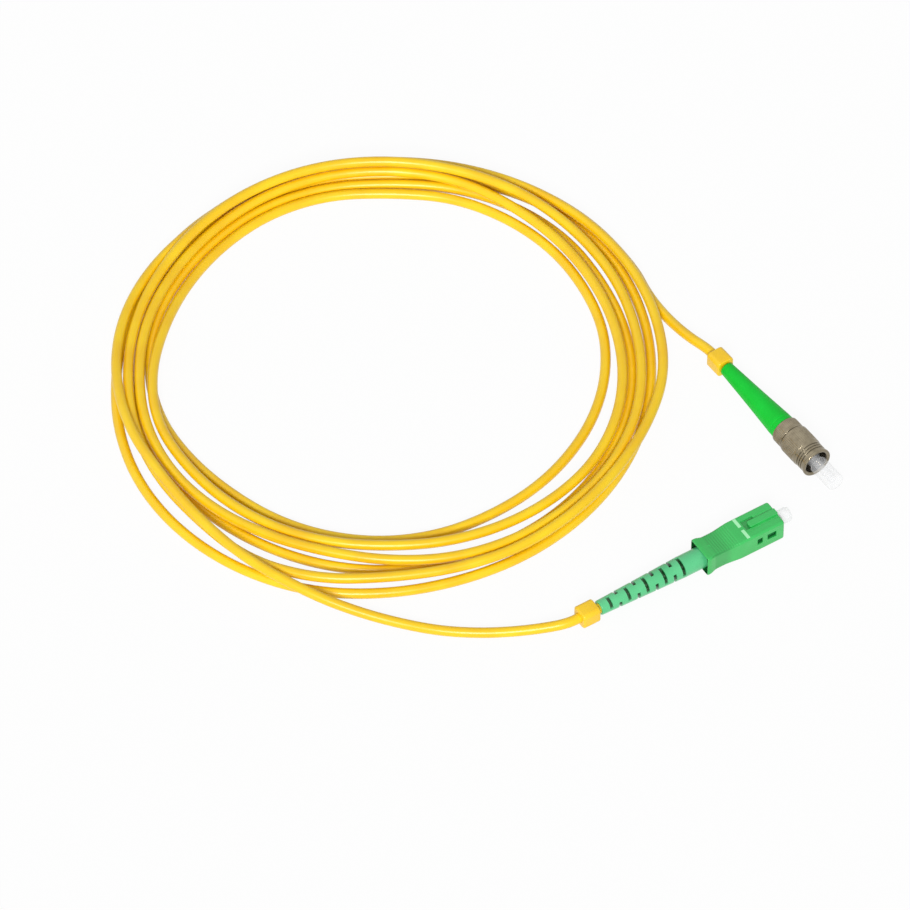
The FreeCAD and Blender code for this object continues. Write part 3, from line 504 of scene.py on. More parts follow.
def new_object(name: str, data: bpy.types.ID) -> bpy.types.Object:
    """Put a new object into the scene.

    Args:
        name: Its name.
        data: Its mesh, curve, lamp or camera.

    Returns:
        The object.
    """
    made = bpy.data.objects.new(name, data)
    bpy.context.scene.collection.objects.link(made)
    return made


def write_shade(mesh: bpy.types.Mesh, shade: np.ndarray) -> None:
    """Keep how much painted shade each point gets, 0 to 1, where the finishes look for it."""
    layer = mesh.attributes.new("shade", "FLOAT", "POINT")
    layer.data.foreach_set("value", np.ascontiguousarray(shade, dtype=np.float32).ravel())


def piece_from_grid(name: str, grid: np.ndarray, ring: bool, kind: Finish, crease: float = 35.0,
                    shade: np.ndarray | None = None) -> bpy.types.Object:
    """Join a grid of points into a closed piece.

    Row i, column j is a point of the surface; columns always close round. The rows close too on a
    ring-shaped piece; otherwise the first and last rows are poles, each one point repeated.

    Args:
        name: The piece's name.
        grid: Points (rows, columns, 3) in metres.
        ring: Whether the rows close round.
        kind: The finish.
        crease: Edges sharper than this many degrees stay sharp.
        shade: How much painted shade each point of the grid's rows and columns gets, 0 to 1.

    Returns:
        The piece.
    """
    rows, columns = grid.shape[:2]
    here = np.arange(rows if ring else rows - 1)[:, None]
    across = np.arange(columns)[None, :]
    below = (here + 1) % rows
    beside = (across + 1) % columns
    quads = np.stack([here * columns + across, below * columns + across,
                      below * columns + beside, here * columns + beside], axis=-1).reshape(-1, 4)
    mesh = bpy.data.meshes.new(name)
    mesh.from_pydata(grid.reshape(-1, 3).tolist(), [], quads.tolist())
    if shade is not None:
        write_shade(mesh, shade)
    return finish_mesh(name, mesh, kind, crease)


def finish_mesh(name: str, mesh: bpy.types.Mesh, kind: Finish, crease: float) -> bpy.types.Object:
    """Merge doubles, turn the faces outwards, set the creases and dress the piece.

    Args:
        name: The piece's name.
        mesh: Its mesh.
        kind: The finish.
        crease: Edges sharper than this many degrees stay sharp.

    Returns:
        The piece.
    """
    work = bmesh.new()
    work.from_mesh(mesh)
    bmesh.ops.remove_doubles(work, verts=work.verts, dist=1e-7)
    bmesh.ops.dissolve_degenerate(work, edges=work.edges, dist=1e-8)
    bmesh.ops.recalc_face_normals(work, faces=work.faces)
    work.to_mesh(mesh)
    work.free()
    mesh.shade_smooth()
    mesh.set_sharp_from_angle(angle=math.radians(crease))
    piece = new_object(name, mesh)
    mesh.materials.append(finish_of(kind))
    return piece


@dataclass(frozen=True)
class Corner:
    """A corner of a turned piece's outline: place along, radius out, and how far it is rounded."""

    along: float
    out: float
    rounding: float = 0.0


def rounded_outline(corners: list[Corner], steps: int = 4, closed: bool = True) -> np.ndarray:
    """Round the corners of an outline.

    Each rounded corner becomes a quadratic curve (1-t)^2 a + 2t(1-t) corner + t^2 b between the
    points that lie its rounding before and after it, or nearer where that side is short.

    Args:
        corners: The outline's corners in order.
        steps: Points on each rounded corner.
        closed: Whether the last corner joins the first.

    Returns:
        Points (n, 2): along and out.
    """
    points = np.array([(corner.along, corner.out) for corner in corners])
    count = len(corners)
    result: list[np.ndarray] = []
    for index, corner in enumerate(corners):
        here = points[index]
        if corner.rounding <= 0 or (not closed and index in (0, count - 1)):
            result.append(here[None])
            continue
        before = points[index - 1] - here
        after = points[(index + 1) % count] - here
        reach = [min(corner.rounding, MOST_ROUNDED * np.linalg.norm(side))
                 for side in (before, after)]
        first = here + before / np.linalg.norm(before) * reach[0]
        last = here + after / np.linalg.norm(after) * reach[1]
        share = np.linspace(0.0, 1.0, steps + 1)[:, None]
        result.append((1 - share) ** 2 * first + 2 * share * (1 - share) * here + share ** 2 * last)
    return np.concatenate(result)


def turned_piece(name: str, axis: Axis, outline: np.ndarray, kind: Finish, ring: bool = True,
                 relief: Relief | None = None, columns: int = ROUND_STEPS,
                 crease: float = 35.0, depth: np.ndarray | None = None) -> bpy.types.Object:
    """Turn an outline round a plug's axis.

    A point at share v of a turn is (along, out * cos, out * sin); relief may change out as a
    function of place along and angle, which is how slots, ridges and threads are cut.

    Args:
        name: The piece's name.
        axis: The plug's axis.
        outline: Points (n, 2): along and out.
        kind: The finish.
        ring: Whether the outline is a closed loop; otherwise it starts and ends on the axis.
        relief: New radii from (along, angle, out), each (rows, columns).
        columns: Points round the axis.
        crease: Edges sharper than this many degrees stay sharp.
        depth: How much painted shade each of the outline's points gets; else how deep the relief
            cuts says it.

    Returns:
        The piece.
    """
    angle = np.linspace(0.0, 2.0 * math.pi, columns, endpoint=False)[None, :]
    along = np.repeat(outline[:, :1], columns, axis=1)
    out = np.repeat(outline[:, 1:], columns, axis=1)
    shade = None
    if relief is not None:
        plain = out
        out = relief(along, np.broadcast_to(angle, out.shape), plain)
        # painted shade that grows with how deep the relief cuts
        shade = np.clip((plain - out) / FULL_SHADE_DEPTH, 0.0, 1.0)
    if depth is not None:
        shade = np.repeat(depth[:, None], columns, axis=1)
    local = np.stack([along, out * np.cos(angle), out * np.sin(angle)], axis=-1)
    return piece_from_grid(name, axis.to_part(local), ring, kind, crease, shade)


def rounded_end(edge: float, steps: int = 6) -> tuple[np.ndarray, np.ndarray]:
    """A block's rounded end, from its face on: edge * (1 - sin) along, edge * (1 - cos) in."""
    turn = np.linspace(0.0, QUARTER_TURN, steps)
    return edge * (1 - np.sin(turn))[::-1], edge * (1 - np.cos(turn))[::-1]


def rounded_block(along: np.ndarray, half_width: np.ndarray, half_height: np.ndarray,
                  rounding: np.ndarray, columns: int) -> np.ndarray:
    """Sections of a rounded box along an axis.

    The perimeter parameter runs round each section; a point is the section's corner centre plus
    the rounding times a unit vector, with the four flats filled in between.

    Args:
        along: Place of each section.
        half_width: Half width of each section.
        half_height: Half height of each section.
        rounding: Corner radius of each section.
        columns: Points round a section, a multiple of four.

    Returns:
        Local points (rows, columns, 3).
    """
    quarter = columns // 4
    turn = np.repeat(np.arange(4) * QUARTER_TURN, quarter)
    step = np.tile(np.linspace(0.0, QUARTER_TURN, quarter), 4)
    angle = (turn + step)[None, :]
    side = np.sign(np.cos(turn + 0.5 * QUARTER_TURN))[None, :]
    top = np.sign(np.sin(turn + 0.5 * QUARTER_TURN))[None, :]
    radius = rounding[:, None]
    across = side * (half_width[:, None] - radius) + radius * np.cos(angle)
    up = top * (half_height[:, None] - radius) + radius * np.sin(angle)
    return np.stack([np.repeat(along[:, None], across.shape[1], axis=1), across, up], axis=-1)


def cut_away(piece: bpy.types.Object, cutters: list[bpy.types.Object],
             crease: float = 30.0) -> None:
    """Cut other pieces' shapes out of one and delete them.

    Args:
        piece: The piece that is cut.
        cutters: Closed shapes.
        crease: Edges sharper than this many degrees stay sharp.
    """
    for cutter in cutters:
        modifier = piece.modifiers.new("cut", "BOOLEAN")
        modifier.operation = "DIFFERENCE"
        modifier.solver = "EXACT"
        modifier.object = cutter
    graph = bpy.context.evaluated_depsgraph_get()
    cut = bpy.data.meshes.new_from_object(piece.evaluated_get(graph))
    piece.modifiers.clear()
    old = piece.data
    piece.data = cut
    bpy.data.meshes.remove(old)
    cut.shade_smooth()
    cut.set_sharp_from_angle(angle=math.radians(crease))
    for cutter in cutters:
        shape = cutter.data
        bpy.data.objects.remove(cutter)
        bpy.data.meshes.remove(shape)


def box_shape(axis: Axis, along: tuple[float, float], across: tuple[float, float],
              up: tuple[float, float], rounding: float) -> bpy.types.Object:
    """A closed rounded box for cutting.

    Args:
        axis: The plug's axis.
        along: Low and high place along.
        across: Low and high place across.
        up: Low and high place above the axis.
        rounding: Radius of its long edges.

    Returns:
        The box.
    """
    half_width = 0.5 * (across[1] - across[0])
    half_height = 0.5 * (up[1] - up[0])
    sections = rounded_block(np.repeat(along, 2),
                             np.array([POLE, half_width, half_width, POLE]),
                             np.array([POLE, half_height, half_height, POLE]),
                             np.array([POLE_ROUNDING, rounding, rounding, POLE_ROUNDING]),
                             columns=24)
    middle = np.array([0.0, 0.5 * (across[0] + across[1]), 0.5 * (up[0] + up[1])])
    return piece_from_grid("cutter", axis.to_part(sections + middle), ring=False,
                           kind=Finish.SHELL)


def settle(piece: bpy.types.Object, body: str, slot: str, *nodes: str) -> None:
    """Give a piece its body, and hide the nodes that it stands for.

    Args:
        piece: The piece.
        body: The moving body that it rides on.
        slot: The record's material slot; not used.
        *nodes: Solids that it replaces.
    """
    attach(piece, body)
    if nodes:
        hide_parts(*nodes)
    LOG.info("%s: %d faces on %s", piece.name, len(getattr(piece.data, "polygons", [])), body)


COIL_MIDDLE = np.array([-93.864, 42.818, 0.0])
SQUARE_AXIS = Axis((COIL_MIDDLE[0] + 59.4, COIL_MIDDLE[1] - 86.3, 3.7), 32.5)
SCREW_AXIS = Axis((COIL_MIDDLE[0] + 96.9, COIL_MIDDLE[1] + 1.3, 4.7), -54.5)
ROOT = "cord_and_plugs"


@dataclass(frozen=True)
class Lamp:
    """A soft sun: where it shines to, how strong it is and how wide it looks, in radians."""

    name: str
    direction: tuple[float, float, float]
    strength: float
    spread: float


def point_along(holder: bpy.types.Object, direction: Vector) -> None:
    """Turn a camera or a lamp to look along a direction."""
    holder.rotation_mode = "QUATERNION"
    holder.rotation_quaternion = direction.to_track_quat("-Z", "Y")


@dataclass
class Studio:
    """Camera at the photograph's angle, soft light and a pale floor.

    The lens and the sensor are in millimetres, places and other lengths in metres.
    """

    elevation: float = CAMERA_ELEVATION
    aim: tuple[float, float, float] = (-0.07501, 0.01314, 0.003)
    view_width: float = 0.26
    lens: float = 400.0
    sensor: float = 36.0
    clip: tuple[float, float] = (0.05, 30.0)
    floor_half: float = 1.6
    floor_drop: float = 1e-4
    sky_light: float = 0.39
    lamps: tuple[Lamp, ...] = (
        Lamp("key_lamp", (0.05, 0.85, -0.66), 2.45, 0.3),
        Lamp("fill_lamp", (0.7, -0.3, -0.8), 0.25, 1.0),
    )

    def build(self) -> None:
        """Make the camera, the lamps, the world and the floor."""
        self.make_camera()
        self.make_light()
        self.make_floor()

    def make_camera(self) -> None:
        """A long lens far off, aimed so that the view is as wide as the photograph's."""
        data = bpy.data.cameras.new("camera")
        data.lens = self.lens
        data.sensor_width = self.sensor
        data.clip_start, data.clip_end = self.clip
        camera = new_object("camera", data)
        distance = self.view_width * self.lens / self.sensor
        lift = math.radians(self.elevation)
        back = Vector((0.0, -math.cos(lift), math.sin(lift)))
        camera.location = Vector(self.aim) + back * distance
        point_along(camera, -back)
        bpy.context.scene.camera = camera

    def make_light(self) -> None:
        """Two soft suns, in front and behind, and a sky that looks white but lights less."""
        scene = bpy.context.scene
        scene.view_settings.view_transform = "Standard"
        sky = Recipe("sky", sky=True)
        strength = sky.seen() * (1.0 - self.sky_light) + self.sky_light
        scene.world = sky.finish(sky.node("Background", Color=grey(1.0), Strength=strength))
        for lamp in self.lamps:
            data = bpy.data.lights.new(lamp.name, "SUN")
            data.energy = lamp.strength
            data.angle = lamp.spread
            point_along(new_object(lamp.name, data), Vector(lamp.direction))

    def make_floor(self) -> None:
        """A flat square just under the surface that the cord lies on."""
        mesh = bpy.data.meshes.new("floor")
        corners = [(x * self.floor_half, y * self.floor_half, -self.floor_drop)
                   for x, y in ((-1, -1), (1, -1), (1, 1), (-1, 1))]
        mesh.from_pydata(corners, [], [(0, 1, 2, 3)])
        floor = new_object("floor", mesh)
        mesh.materials.append(Surroundings().material())


@dataclass
class Cord:
    """The cord from boot to boot: a short stretch, just over six loose turns and a long stretch.

    The turns are laid out after the photograph, one pair every step of angle: how far from the
    coil's middle the cord seems to lie on a level plane, and how high its middle really runs. The
    stretches are points from the coil's middle, and the straights are two distances behind a
    boot at which the cord still lies on the plug's axis.
    """

    diameter: float = 3.0
    length: float = 3.18
    elevation: float = CAMERA_ELEVATION
    plane: float = 3.2
    first_angle: float = 30.0
    step: float = 15.0
    turns: tuple[tuple[tuple[float, float], ...], ...] = (
        ((80.9, 1.5), (81.8, 1.5),
         (81.8, 1.5), (80.4, 1.5), (78.9, 1.5), (79.9, 1.5), (80.4, 1.5), (80.1, 1.5),
         (79.2, 1.5), (78.4, 1.5), (78.3, 1.5), (79.9, 1.5), (81.6, 1.5), (82.6, 1.5),
         (83.0, 1.5), (82.5, 1.5), (80.3, 1.5), (78.3, 1.5), (77.0, 1.5), (75.9, 1.5),
         (75.2, 1.5), (75.0, 1.5)),
        ((75.2, 1.5), (76.2, 1.5), (77.7, 1.5), (78.6, 1.5), (78.6, 1.5), (77.3, 1.5),
         (75.8, 1.5), (76.8, 1.5), (76.9, 1.5), (76.6, 1.5), (75.9, 1.5), (75.2, 1.5),
         (75.0, 1.5), (73.7, 1.5), (73.1, 1.5), (72.6, 1.5), (72.3, 1.5), (72.5, 1.5),
         (72.2, 1.5), (71.0, 1.5), (70.4, 1.5), (69.9, 1.5), (69.5, 1.5), (69.6, 1.5)),
        ((69.8, 1.5), (69.9, 1.5), (70.3, 1.5), (72.4, 1.5), (73.4, 1.5), (73.6, 1.5),
         (72.6, 1.5), (73.7, 1.5), (73.6, 1.5), (72.0, 1.5), (71.0, 1.5), (70.2, 1.5),
         (69.0, 1.5), (67.3, 1.5), (64.5, 1.5), (62.6, 1.5), (62.3, 1.5), (62.0, 1.5),
         (61.5, 1.5), (60.5, 1.5), (59.2, 1.5), (59.0, 1.5), (59.3, 1.5), (60.4, 1.5)),
        ((61.9, 1.5), (63.7, 1.5), (64.9, 1.5), (66.8, 1.5), (68.3, 1.5), (69.6, 1.5),
         (68.9, 1.5), (70.5, 1.5), (70.3, 1.5), (68.8, 1.5), (67.7, 1.6), (67.2, 3.6),
         (68.1, 4.6), (68.4, 4.6), (66.6, 4.6), (65.6, 4.6), (64.8, 4.6), (63.8, 4.6),
         (62.9, 4.6), (63.5, 4.6), (64.3, 4.6), (65.3, 4.6), (66.5, 4.6), (66.8, 4.6)),
        ((67.0, 4.6), (67.3, 4.6), (68.4, 4.6), (70.4, 4.6), (73.0, 4.6), (76.6, 4.6),
         (77.9, 4.6), (78.3, 4.6), (77.1, 4.6), (75.0, 4.6), (73.4, 4.6), (72.6, 4.6),
         (71.7, 4.6), (71.8, 4.6), (71.4, 4.6), (70.0, 4.6), (68.2, 4.6), (67.2, 4.6),
         (68.2, 4.6), (69.7, 4.6), (70.3, 4.6), (70.6, 4.6), (71.4, 4.6), (72.0, 4.6)),
        ((72.4, 4.6), (72.9, 4.6), (74.6, 4.6), (76.4, 5.4), (78.9, 7.2), (80.4, 7.8),
         (81.5, 7.8), (82.0, 7.8), (81.0, 7.8), (79.0, 7.4), (76.9, 5.6), (75.8, 4.6),
         (75.0, 4.6), (75.2, 4.6), (75.5, 4.6), (75.8, 4.6), (78.5, 4.6), (77.4, 4.6),
         (74.2, 4.6), (73.5, 4.6), (73.5, 5.2), (72.9, 6.6), (73.4, 6.6), (75.5, 5.6)),
        ((78.7, 4.9), (79.7, 5.2), (80.8, 4.7), (81.5, 4.6), (81.7, 4.6), (81.6, 4.6),
         (81.4, 4.6), (81.8, 4.6), (81.0, 4.6), (79.5, 4.6), (79.8, 4.7), (79.7, 5.0),
         (78.4, 6.4), (76.4, 7.7), (74.1, 7.8), (75.2, 7.8), (78.5, 7.6), (83.0, 5.4)),
    )
    screw_run: tuple[tuple[float, float, float], ...] = (
        (86.0, 14.2, 3.7),
        (79.9, 22.8, 2.0),
        (74.6, 31.9, 1.5),
    )
    square_run: tuple[tuple[float, float, float], ...] = (
        (-8.5, -87.1, 2.9),
        (3.1, -90.0, 1.5),
        (14.6, -92.8, 1.5),
        (26.0, -93.6, 1.5),
        (35.5, -93.2, 1.7),
        (43.5, -92.8, 2.7),
    )
    screw_straight: tuple[float, float] = (4.0, 9.0)
    square_straight: tuple[float, float] = (4.5, 10.5)

    def coil(self) -> np.ndarray:
        """Points along the turns.

        A point seen at reach R and angle a on the plane, and at height z, really lies at
        (R cos a, R sin a - (z - plane) / tan(elevation), z) from the coil's middle. It stands out
        by 1 / cos(half a step), so that the smooth line keeps its reach.

        Returns:
            Points in mm from the coil's middle.
        """
        reach, height = np.concatenate([np.array(turn) for turn in self.turns]).T
        angle = np.radians(self.first_angle + self.step * np.arange(len(reach)))
        shift = (height - self.plane) / math.tan(math.radians(self.elevation))
        flat = np.stack([reach * np.cos(angle), reach * np.sin(angle) - shift], axis=-1)
        return np.column_stack([flat / math.cos(math.radians(0.5 * self.step)), height])

    def control_points(self) -> np.ndarray:
        """The route from the screw-on plug's boot to the square plug's.

        Returns:
            Points in metres.
        """
        loose = np.concatenate([np.array(self.screw_run), self.coil(), np.array(self.square_run)])
        near, far = self.screw_straight
        screw = SCREW_AXIS.to_part(np.array([[0.0, 0, 0], [-near, 0, 0], [-far, 0, 0]]))
        near, far = self.square_straight
        square = SQUARE_AXIS.to_part(np.array([[-far, 0, 0], [-near, 0, 0], [0.0, 0, 0]]))
        return np.concatenate([screw, (loose + COIL_MIDDLE) * MM, square])

    def build(self, markers: list[bpy.types.Object]) -> None:
        """Args:
            markers: The collars on it; not used.
        """
        points = self.control_points()
        curve = bpy.data.curves.new("cord", "CURVE")
        curve.dimensions = "3D"
        curve.bevel_depth = 0.5 * self.diameter * MM
        curve.bevel_resolution = 6
        curve.resolution_u = 8
        curve.use_fill_caps = True
        spline = curve.splines.new("NURBS")
        spline.points.add(len(points) - 1)
        spline.points.foreach_set("co", np.column_stack([points, np.ones(len(points))]).ravel())
        spline.order_u = 3
        spline.use_endpoint_u = True
        cord = new_object("cord", curve)
        curve.materials.append(finish_of(Finish.JACKET))
        settle(cord, ROOT, "jacket", "cord_coil", "cord_run_fc", "cord_run_sc")


@dataclass
class Collar:
    """Marker collar on the cord: a soft block with a round bore and rounded ends."""

    name: str
    node: str
    body: str
    axis: Axis
    front: float
    length: float = 5.6
    width: float = 5.6
    rounding: float = 1.4
    least_rounding: float = 0.2
    bore: float = 3.1
    edge: float = 0.45

    def build(self) -> bpy.types.Object:
        """Make the collar: sections from the bore, round the ends and over the outside.

        Returns:
            The collar.
        """
        half, hole = 0.5 * self.width, 0.5 * self.bore
        rear = self.front - self.length
        back, drop = rounded_end(self.edge, 5)
        along = np.concatenate([[rear], rear + back, self.front - back[::-1], [self.front]])
        inset = np.concatenate([drop, drop[::-1]])
        wide = np.concatenate([[hole], half - inset, [hole]])
        corners = np.maximum(self.rounding - 0.5 * inset, self.least_rounding)
        rounding = np.concatenate([[hole], corners, [hole]])
        sections = rounded_block(along, wide, wide, rounding, columns=64)
        piece = piece_from_grid(self.name, self.axis.to_part(sections), ring=True,
                                kind=Finish.COLLAR, crease=50.0)
        settle(piece, self.body, "jacket", self.node)
        return piece


@dataclass
class SquarePlug:
    """Push-pull plug with a slotted boot. Sizes of round forms are diameters here.

    Attributes:
        boot_nose: Where the taper begins, and the rounding of the tip.
        boot_taper: Where the taper ends.
        boot_rim: How far before the root's face the skin's last row lies.
        boot_hole: The hole in the shell that the boot's root sits in.
        liner: The boot's tube inside the slots.
        slot_ease: Half the length over which a slot's wall slopes.
        shell: Rear and front.
        shell_size: Width and height.
        mouth: Depth, half width and half height of the rear mouth.
        mouth_reach: How far into the mouth the painted shade is full.
        grip: Where the waist begins, is full, is full to, and ends.
        grip_drop: What the waist takes off the sides, and off the top and the underside.
        grip_ridges: Rear, front, pitch and depth.
        key: Width, height and length.
        key_rear: Pairs of distance from the key's rear end and share of its full section.
        key_front: The same from its front end.
        channel: Width, length and depth.
        pocket: Rear, front, right, left and depth.
        windows: Rear and front of each.
        window_up: Lower and upper edge.
        dark: How deep inside the shell the painted shade begins, and over what depth it grows.
        marks_along: Rear and front edge of the index marks' grooves.
        marks_across: Inner and outer end of each groove.
        cut_past: How far a cutting shape stands out of the shell.
        cap: Rear, front and width.
        cap_edges: Rounding of its front and its rear.
    """

    axis: Axis = SQUARE_AXIS
    boot_length: float = 36.0
    boot_tip: float = 4.4
    boot_root: float = 6.4
    boot_taper: float = 27.6
    boot_bore: float = 3.1
    boot_nose: tuple[float, float] = (0.6, 0.5)
    boot_rim: float = 0.1
    boot_rows: int = 80
    boot_turn: float = 33.0
    slot_width: float = 0.95
    slot_pitch: float = 6.0
    slot_middle: float = 27.0
    slot_count: int = 5
    slot_floor: float = 1.3
    slot_ease: float = 0.05
    liner: float = 3.5
    shell: tuple[float, float] = (34.0, 60.0)
    shell_size: tuple[float, float] = (9.0, 7.4)
    shell_wall: float = 0.8
    shell_rounding: float = 0.75
    shell_edge: float = 0.6
    mouth: tuple[float, float, float] = (1.3, 4.2, 3.42)
    mouth_rounding: float = 1.2
    mouth_edge: float = 0.3
    mouth_reach: float = 2.0
    grip: tuple[float, float, float, float] = (34.9, 37.3, 39.6, 46.4)
    grip_drop: tuple[float, float] = (0.4, 0.33)
    grip_ridges: tuple[float, float, float, float] = (37.3, 45.0, 0.77, 0.08)
    grip_row_step: float = 0.11
    cavity_rear: float = 37.5
    cavity_rounding: float = 0.3
    boot_hole: float = 6.9
    key: tuple[float, float, float] = (2.2, 0.5, 9.5)
    key_rear: tuple[tuple[float, float], ...] = ((0.0, 0.0), (0.0, 0.75), (0.12, 0.92), (0.4, 1.0))
    key_front: tuple[tuple[float, float], ...] = ((0.25, 1.0), (0.1, 0.85), (0.1, 0.0))
    key_sunk: float = 0.1
    channel: tuple[float, float, float] = (4.4, 11.0, 0.12)
    pocket: tuple[float, float, float, float, float] = (49.2, 53.2, -1.15, 2.3, 0.5)
    windows: tuple[tuple[float, float], ...] = ((50.8, 52.6), (54.2, 57.2))
    window_up: tuple[float, float] = (-0.7, 1.6)
    marks_along: tuple[float, float] = (47.6, 48.6)
    marks_across: tuple[float, float] = (0.6, 4.0)
    mark_depth: float = 0.2
    cut_past: float = 1.0
    dark: tuple[float, float] = (0.25, 0.55)
    cap: tuple[float, float, float] = (52.4, 64.4, 4.4)
    cap_edges: tuple[float, float] = (0.7, 0.15)
    cap_wall: float = 3.0

    def half_size(self) -> tuple[float, float]:
        """Half the shell's width and half its height."""
        return 0.5 * self.shell_size[0], 0.5 * self.shell_size[1]

    def build(self) -> None:
        """Make every visible piece of the plug."""
        self.make_boot()
        self.make_shell()
        self.make_key()
        self.make_cap()

    def make_boot(self) -> None:
        """The boot: a turned taper, cut down in each slot to floor / |sin| or floor / |cos|.

        Angles of the slots count from the boot's own turn about its axis, and the cut eases from
        nothing to the floor over twice slot_ease at each wall.
        """
        half, ease = 0.5 * self.slot_width, self.slot_ease
        bore, liner = 0.5 * self.boot_bore, 0.5 * self.liner
        nose_end, nose_rounding = self.boot_nose
        upright = self.slot_middle - self.slot_pitch * np.arange(self.slot_count)
        sideways = upright[:-1] - 0.5 * self.slot_pitch
        walls = np.concatenate([upright - half, upright + half, sideways - half, sideways + half])
        plain = np.linspace(nose_end, self.boot_length - self.boot_rim, self.boot_rows)
        rows = np.concatenate([walls - ease, walls, walls + ease, plain])
        skin = np.unique(np.round(rows, 3))[::-1]
        radius = 0.5 * np.interp(skin, [0.0, self.boot_taper], [self.boot_tip, self.boot_root])
        nose = rounded_outline([
            Corner(nose_end, radius[-1]), Corner(0.0, 0.5 * self.boot_tip, nose_rounding),
            Corner(0.0, bore), Corner(0.5 * nose_end, bore),
        ], closed=False)
        root = np.array([[self.boot_length, bore], [self.boot_length, radius[0]]])
        outline = np.concatenate([np.stack([skin, radius], axis=-1), nose, root])
        turn = math.radians(self.boot_turn)

        def slots(along: np.ndarray, angle: np.ndarray, out: np.ndarray) -> np.ndarray:
            """Cut the slots: one pair of sides by turns with the other pair.

            Args:
                along: Place of each point along the plug.
                angle: Its angle round the axis.
                out: Its plain radius.

            Returns:
                Its radius with the slots cut.
            """
            result = out
            pairs = (upright, np.sin(angle - turn)), (sideways, np.cos(angle - turn))
            for middles, across in pairs:
                floor = np.maximum(self.slot_floor / np.maximum(np.abs(across), TINY), liner)
                away = np.abs(along[..., None] - middles).min(axis=-1)
                share = np.clip((half + ease - away) / (2 * ease), 0.0, 1.0)
                result = result - share * np.maximum(result - floor, 0.0) * (out > liner)
            return result

        # The slots get painted shade by how deep they cut
        piece = turned_piece("slotted_boot", self.axis, outline, Finish.SLOTTED_BOOT,
                             relief=slots, columns=160, crease=32.0)
        settle(piece, ROOT, "sc_boot_green", "sc_boot")

    def make_shell(self) -> None:
        """The push-pull shell: rounded sections from the cavity, out of the mouth and to the front.

        Each row is a section's half width, half height and corner radius, and both ends are
        rounded. The grip's waist takes drop * share off both halves, and its ridges take their
        depth off the height.
        """
        low, high = self.shell
        wide, tall = self.half_size()
        depth, mouth_wide, mouth_tall = self.mouth
        hole = 0.5 * self.boot_hole
        back, drop = rounded_end(self.mouth_edge)
        front_back, front_drop = rounded_end(self.shell_edge)
        rows = np.arange(self.grip[0], self.grip[3], self.grip_row_step)
        thin, groove = self.waist(rows)
        along = np.concatenate([[self.cavity_rear, low + depth, low + depth, low], low + back,
                                rows, high - front_back[::-1], [high, self.cavity_rear]])
        widths = np.concatenate([[hole, hole, mouth_wide, mouth_wide], wide - drop,
                                 wide - self.grip_drop[0] * thin, wide - front_drop[::-1],
                                 [wide - self.shell_wall] * 2])
        heights = np.concatenate([[hole, hole, mouth_tall, mouth_tall], tall - drop,
                                  tall - self.grip_drop[1] * thin - groove,
                                  tall - front_drop[::-1], [tall - self.shell_wall] * 2])
        outside = np.full(len(back) + len(rows) + len(front_back), self.shell_rounding)
        radii = np.concatenate([[hole] * 2, [self.mouth_rounding] * 2, outside,
                                [self.cavity_rounding] * 2])
        sections = rounded_block(along, widths, heights, radii, columns=120)
        piece = piece_from_grid("push_pull_shell", self.axis.to_part(sections), ring=True,
                                kind=Finish.SHELL, crease=30.0)
        cut_away(piece, self.openings())
        self.shade_inside(piece)
        settle(piece, "sc_grip", "sc_green", "sc_housing")

    def openings(self) -> list[bpy.types.Object]:
        """Shapes to cut out of the shell: windows, mark grooves, the key's channel and the pocket.

        Returns:
            The cutting shapes.
        """
        past, tall, high = self.shell_size[0], self.half_size()[1], self.shell[1]
        above = tall + self.cut_past
        marks_up = (tall - self.mark_depth, tall + 0.5 * self.cut_past)
        inner, outer = self.marks_across
        width, length, depth = self.channel
        rear, front, right, left, pocket_depth = self.pocket
        return [
            *(box_shape(self.axis, window, (-past, past), self.window_up, rounding=0.25)
              for window in self.windows),
            *(box_shape(self.axis, self.marks_along, across, marks_up, rounding=0.02)
              for across in ((inner, outer), (-outer, -inner))),
            box_shape(self.axis, (high - length, high + self.cut_past),
                      (-0.5 * width, 0.5 * width), (tall - depth, above), rounding=0.15),
            box_shape(self.axis, (rear, front), (right, left), (tall - pocket_depth, above),
                      rounding=0.2),
        ]

    def waist(self, rows: np.ndarray) -> tuple[np.ndarray, np.ndarray]:
        """How far the grip is drawn in at places along the shell.

        The share eases from nought to one and back by 3t^2 - 2t^3, and the ridges' grooves are
        depth * (1 - cos(turns along)) / 2 deep.

        Args:
            rows: Places along.

        Returns:
            The share of the waist's full drop, and the depth of the ridges' grooves.
        """
        rear, full, end, front = self.grip
        rise = np.clip((rows - rear) / (full - rear), 0.0, 1.0)
        fall = np.clip((front - rows) / (front - end), 0.0, 1.0)
        share = np.minimum(rise * rise * (3 - 2 * rise), fall * fall * (3 - 2 * fall))
        first, last, pitch, depth = self.grip_ridges
        wave = 0.5 - 0.5 * np.cos(2.0 * math.pi * (rows - first) / pitch)
        return share, depth * wave * ((rows > first) & (rows < last))

    def shade_inside(self, piece: bpy.types.Object) -> None:
        """Paint shade into the shell: the deeper a point lies under its outside, the more it gets.

        It is (depth - begins) / growth kept to nought to one, with depth the least distance to
        the six outer faces, and full painted shade inside the rear mouth.

        Args:
            piece: The shell, already cut.
        """
        mesh = piece.data
        flat = np.empty(3 * len(mesh.vertices))
        mesh.vertices.foreach_get("co", flat)
        along, across, up = self.axis.to_plug(flat.reshape(-1, 3)).T
        low, high = self.shell
        wide, tall = self.half_size()
        depth = np.minimum.reduce([wide - np.abs(across), tall - np.abs(up),
                                   along - low, high - along])
        _, mouth_wide, mouth_tall = self.mouth
        slack = 0.01
        in_mouth = ((along < low + self.mouth_reach) & (np.abs(across) < mouth_wide + slack)
                    & (np.abs(up) < mouth_tall + slack))
        begins, growth = self.dark
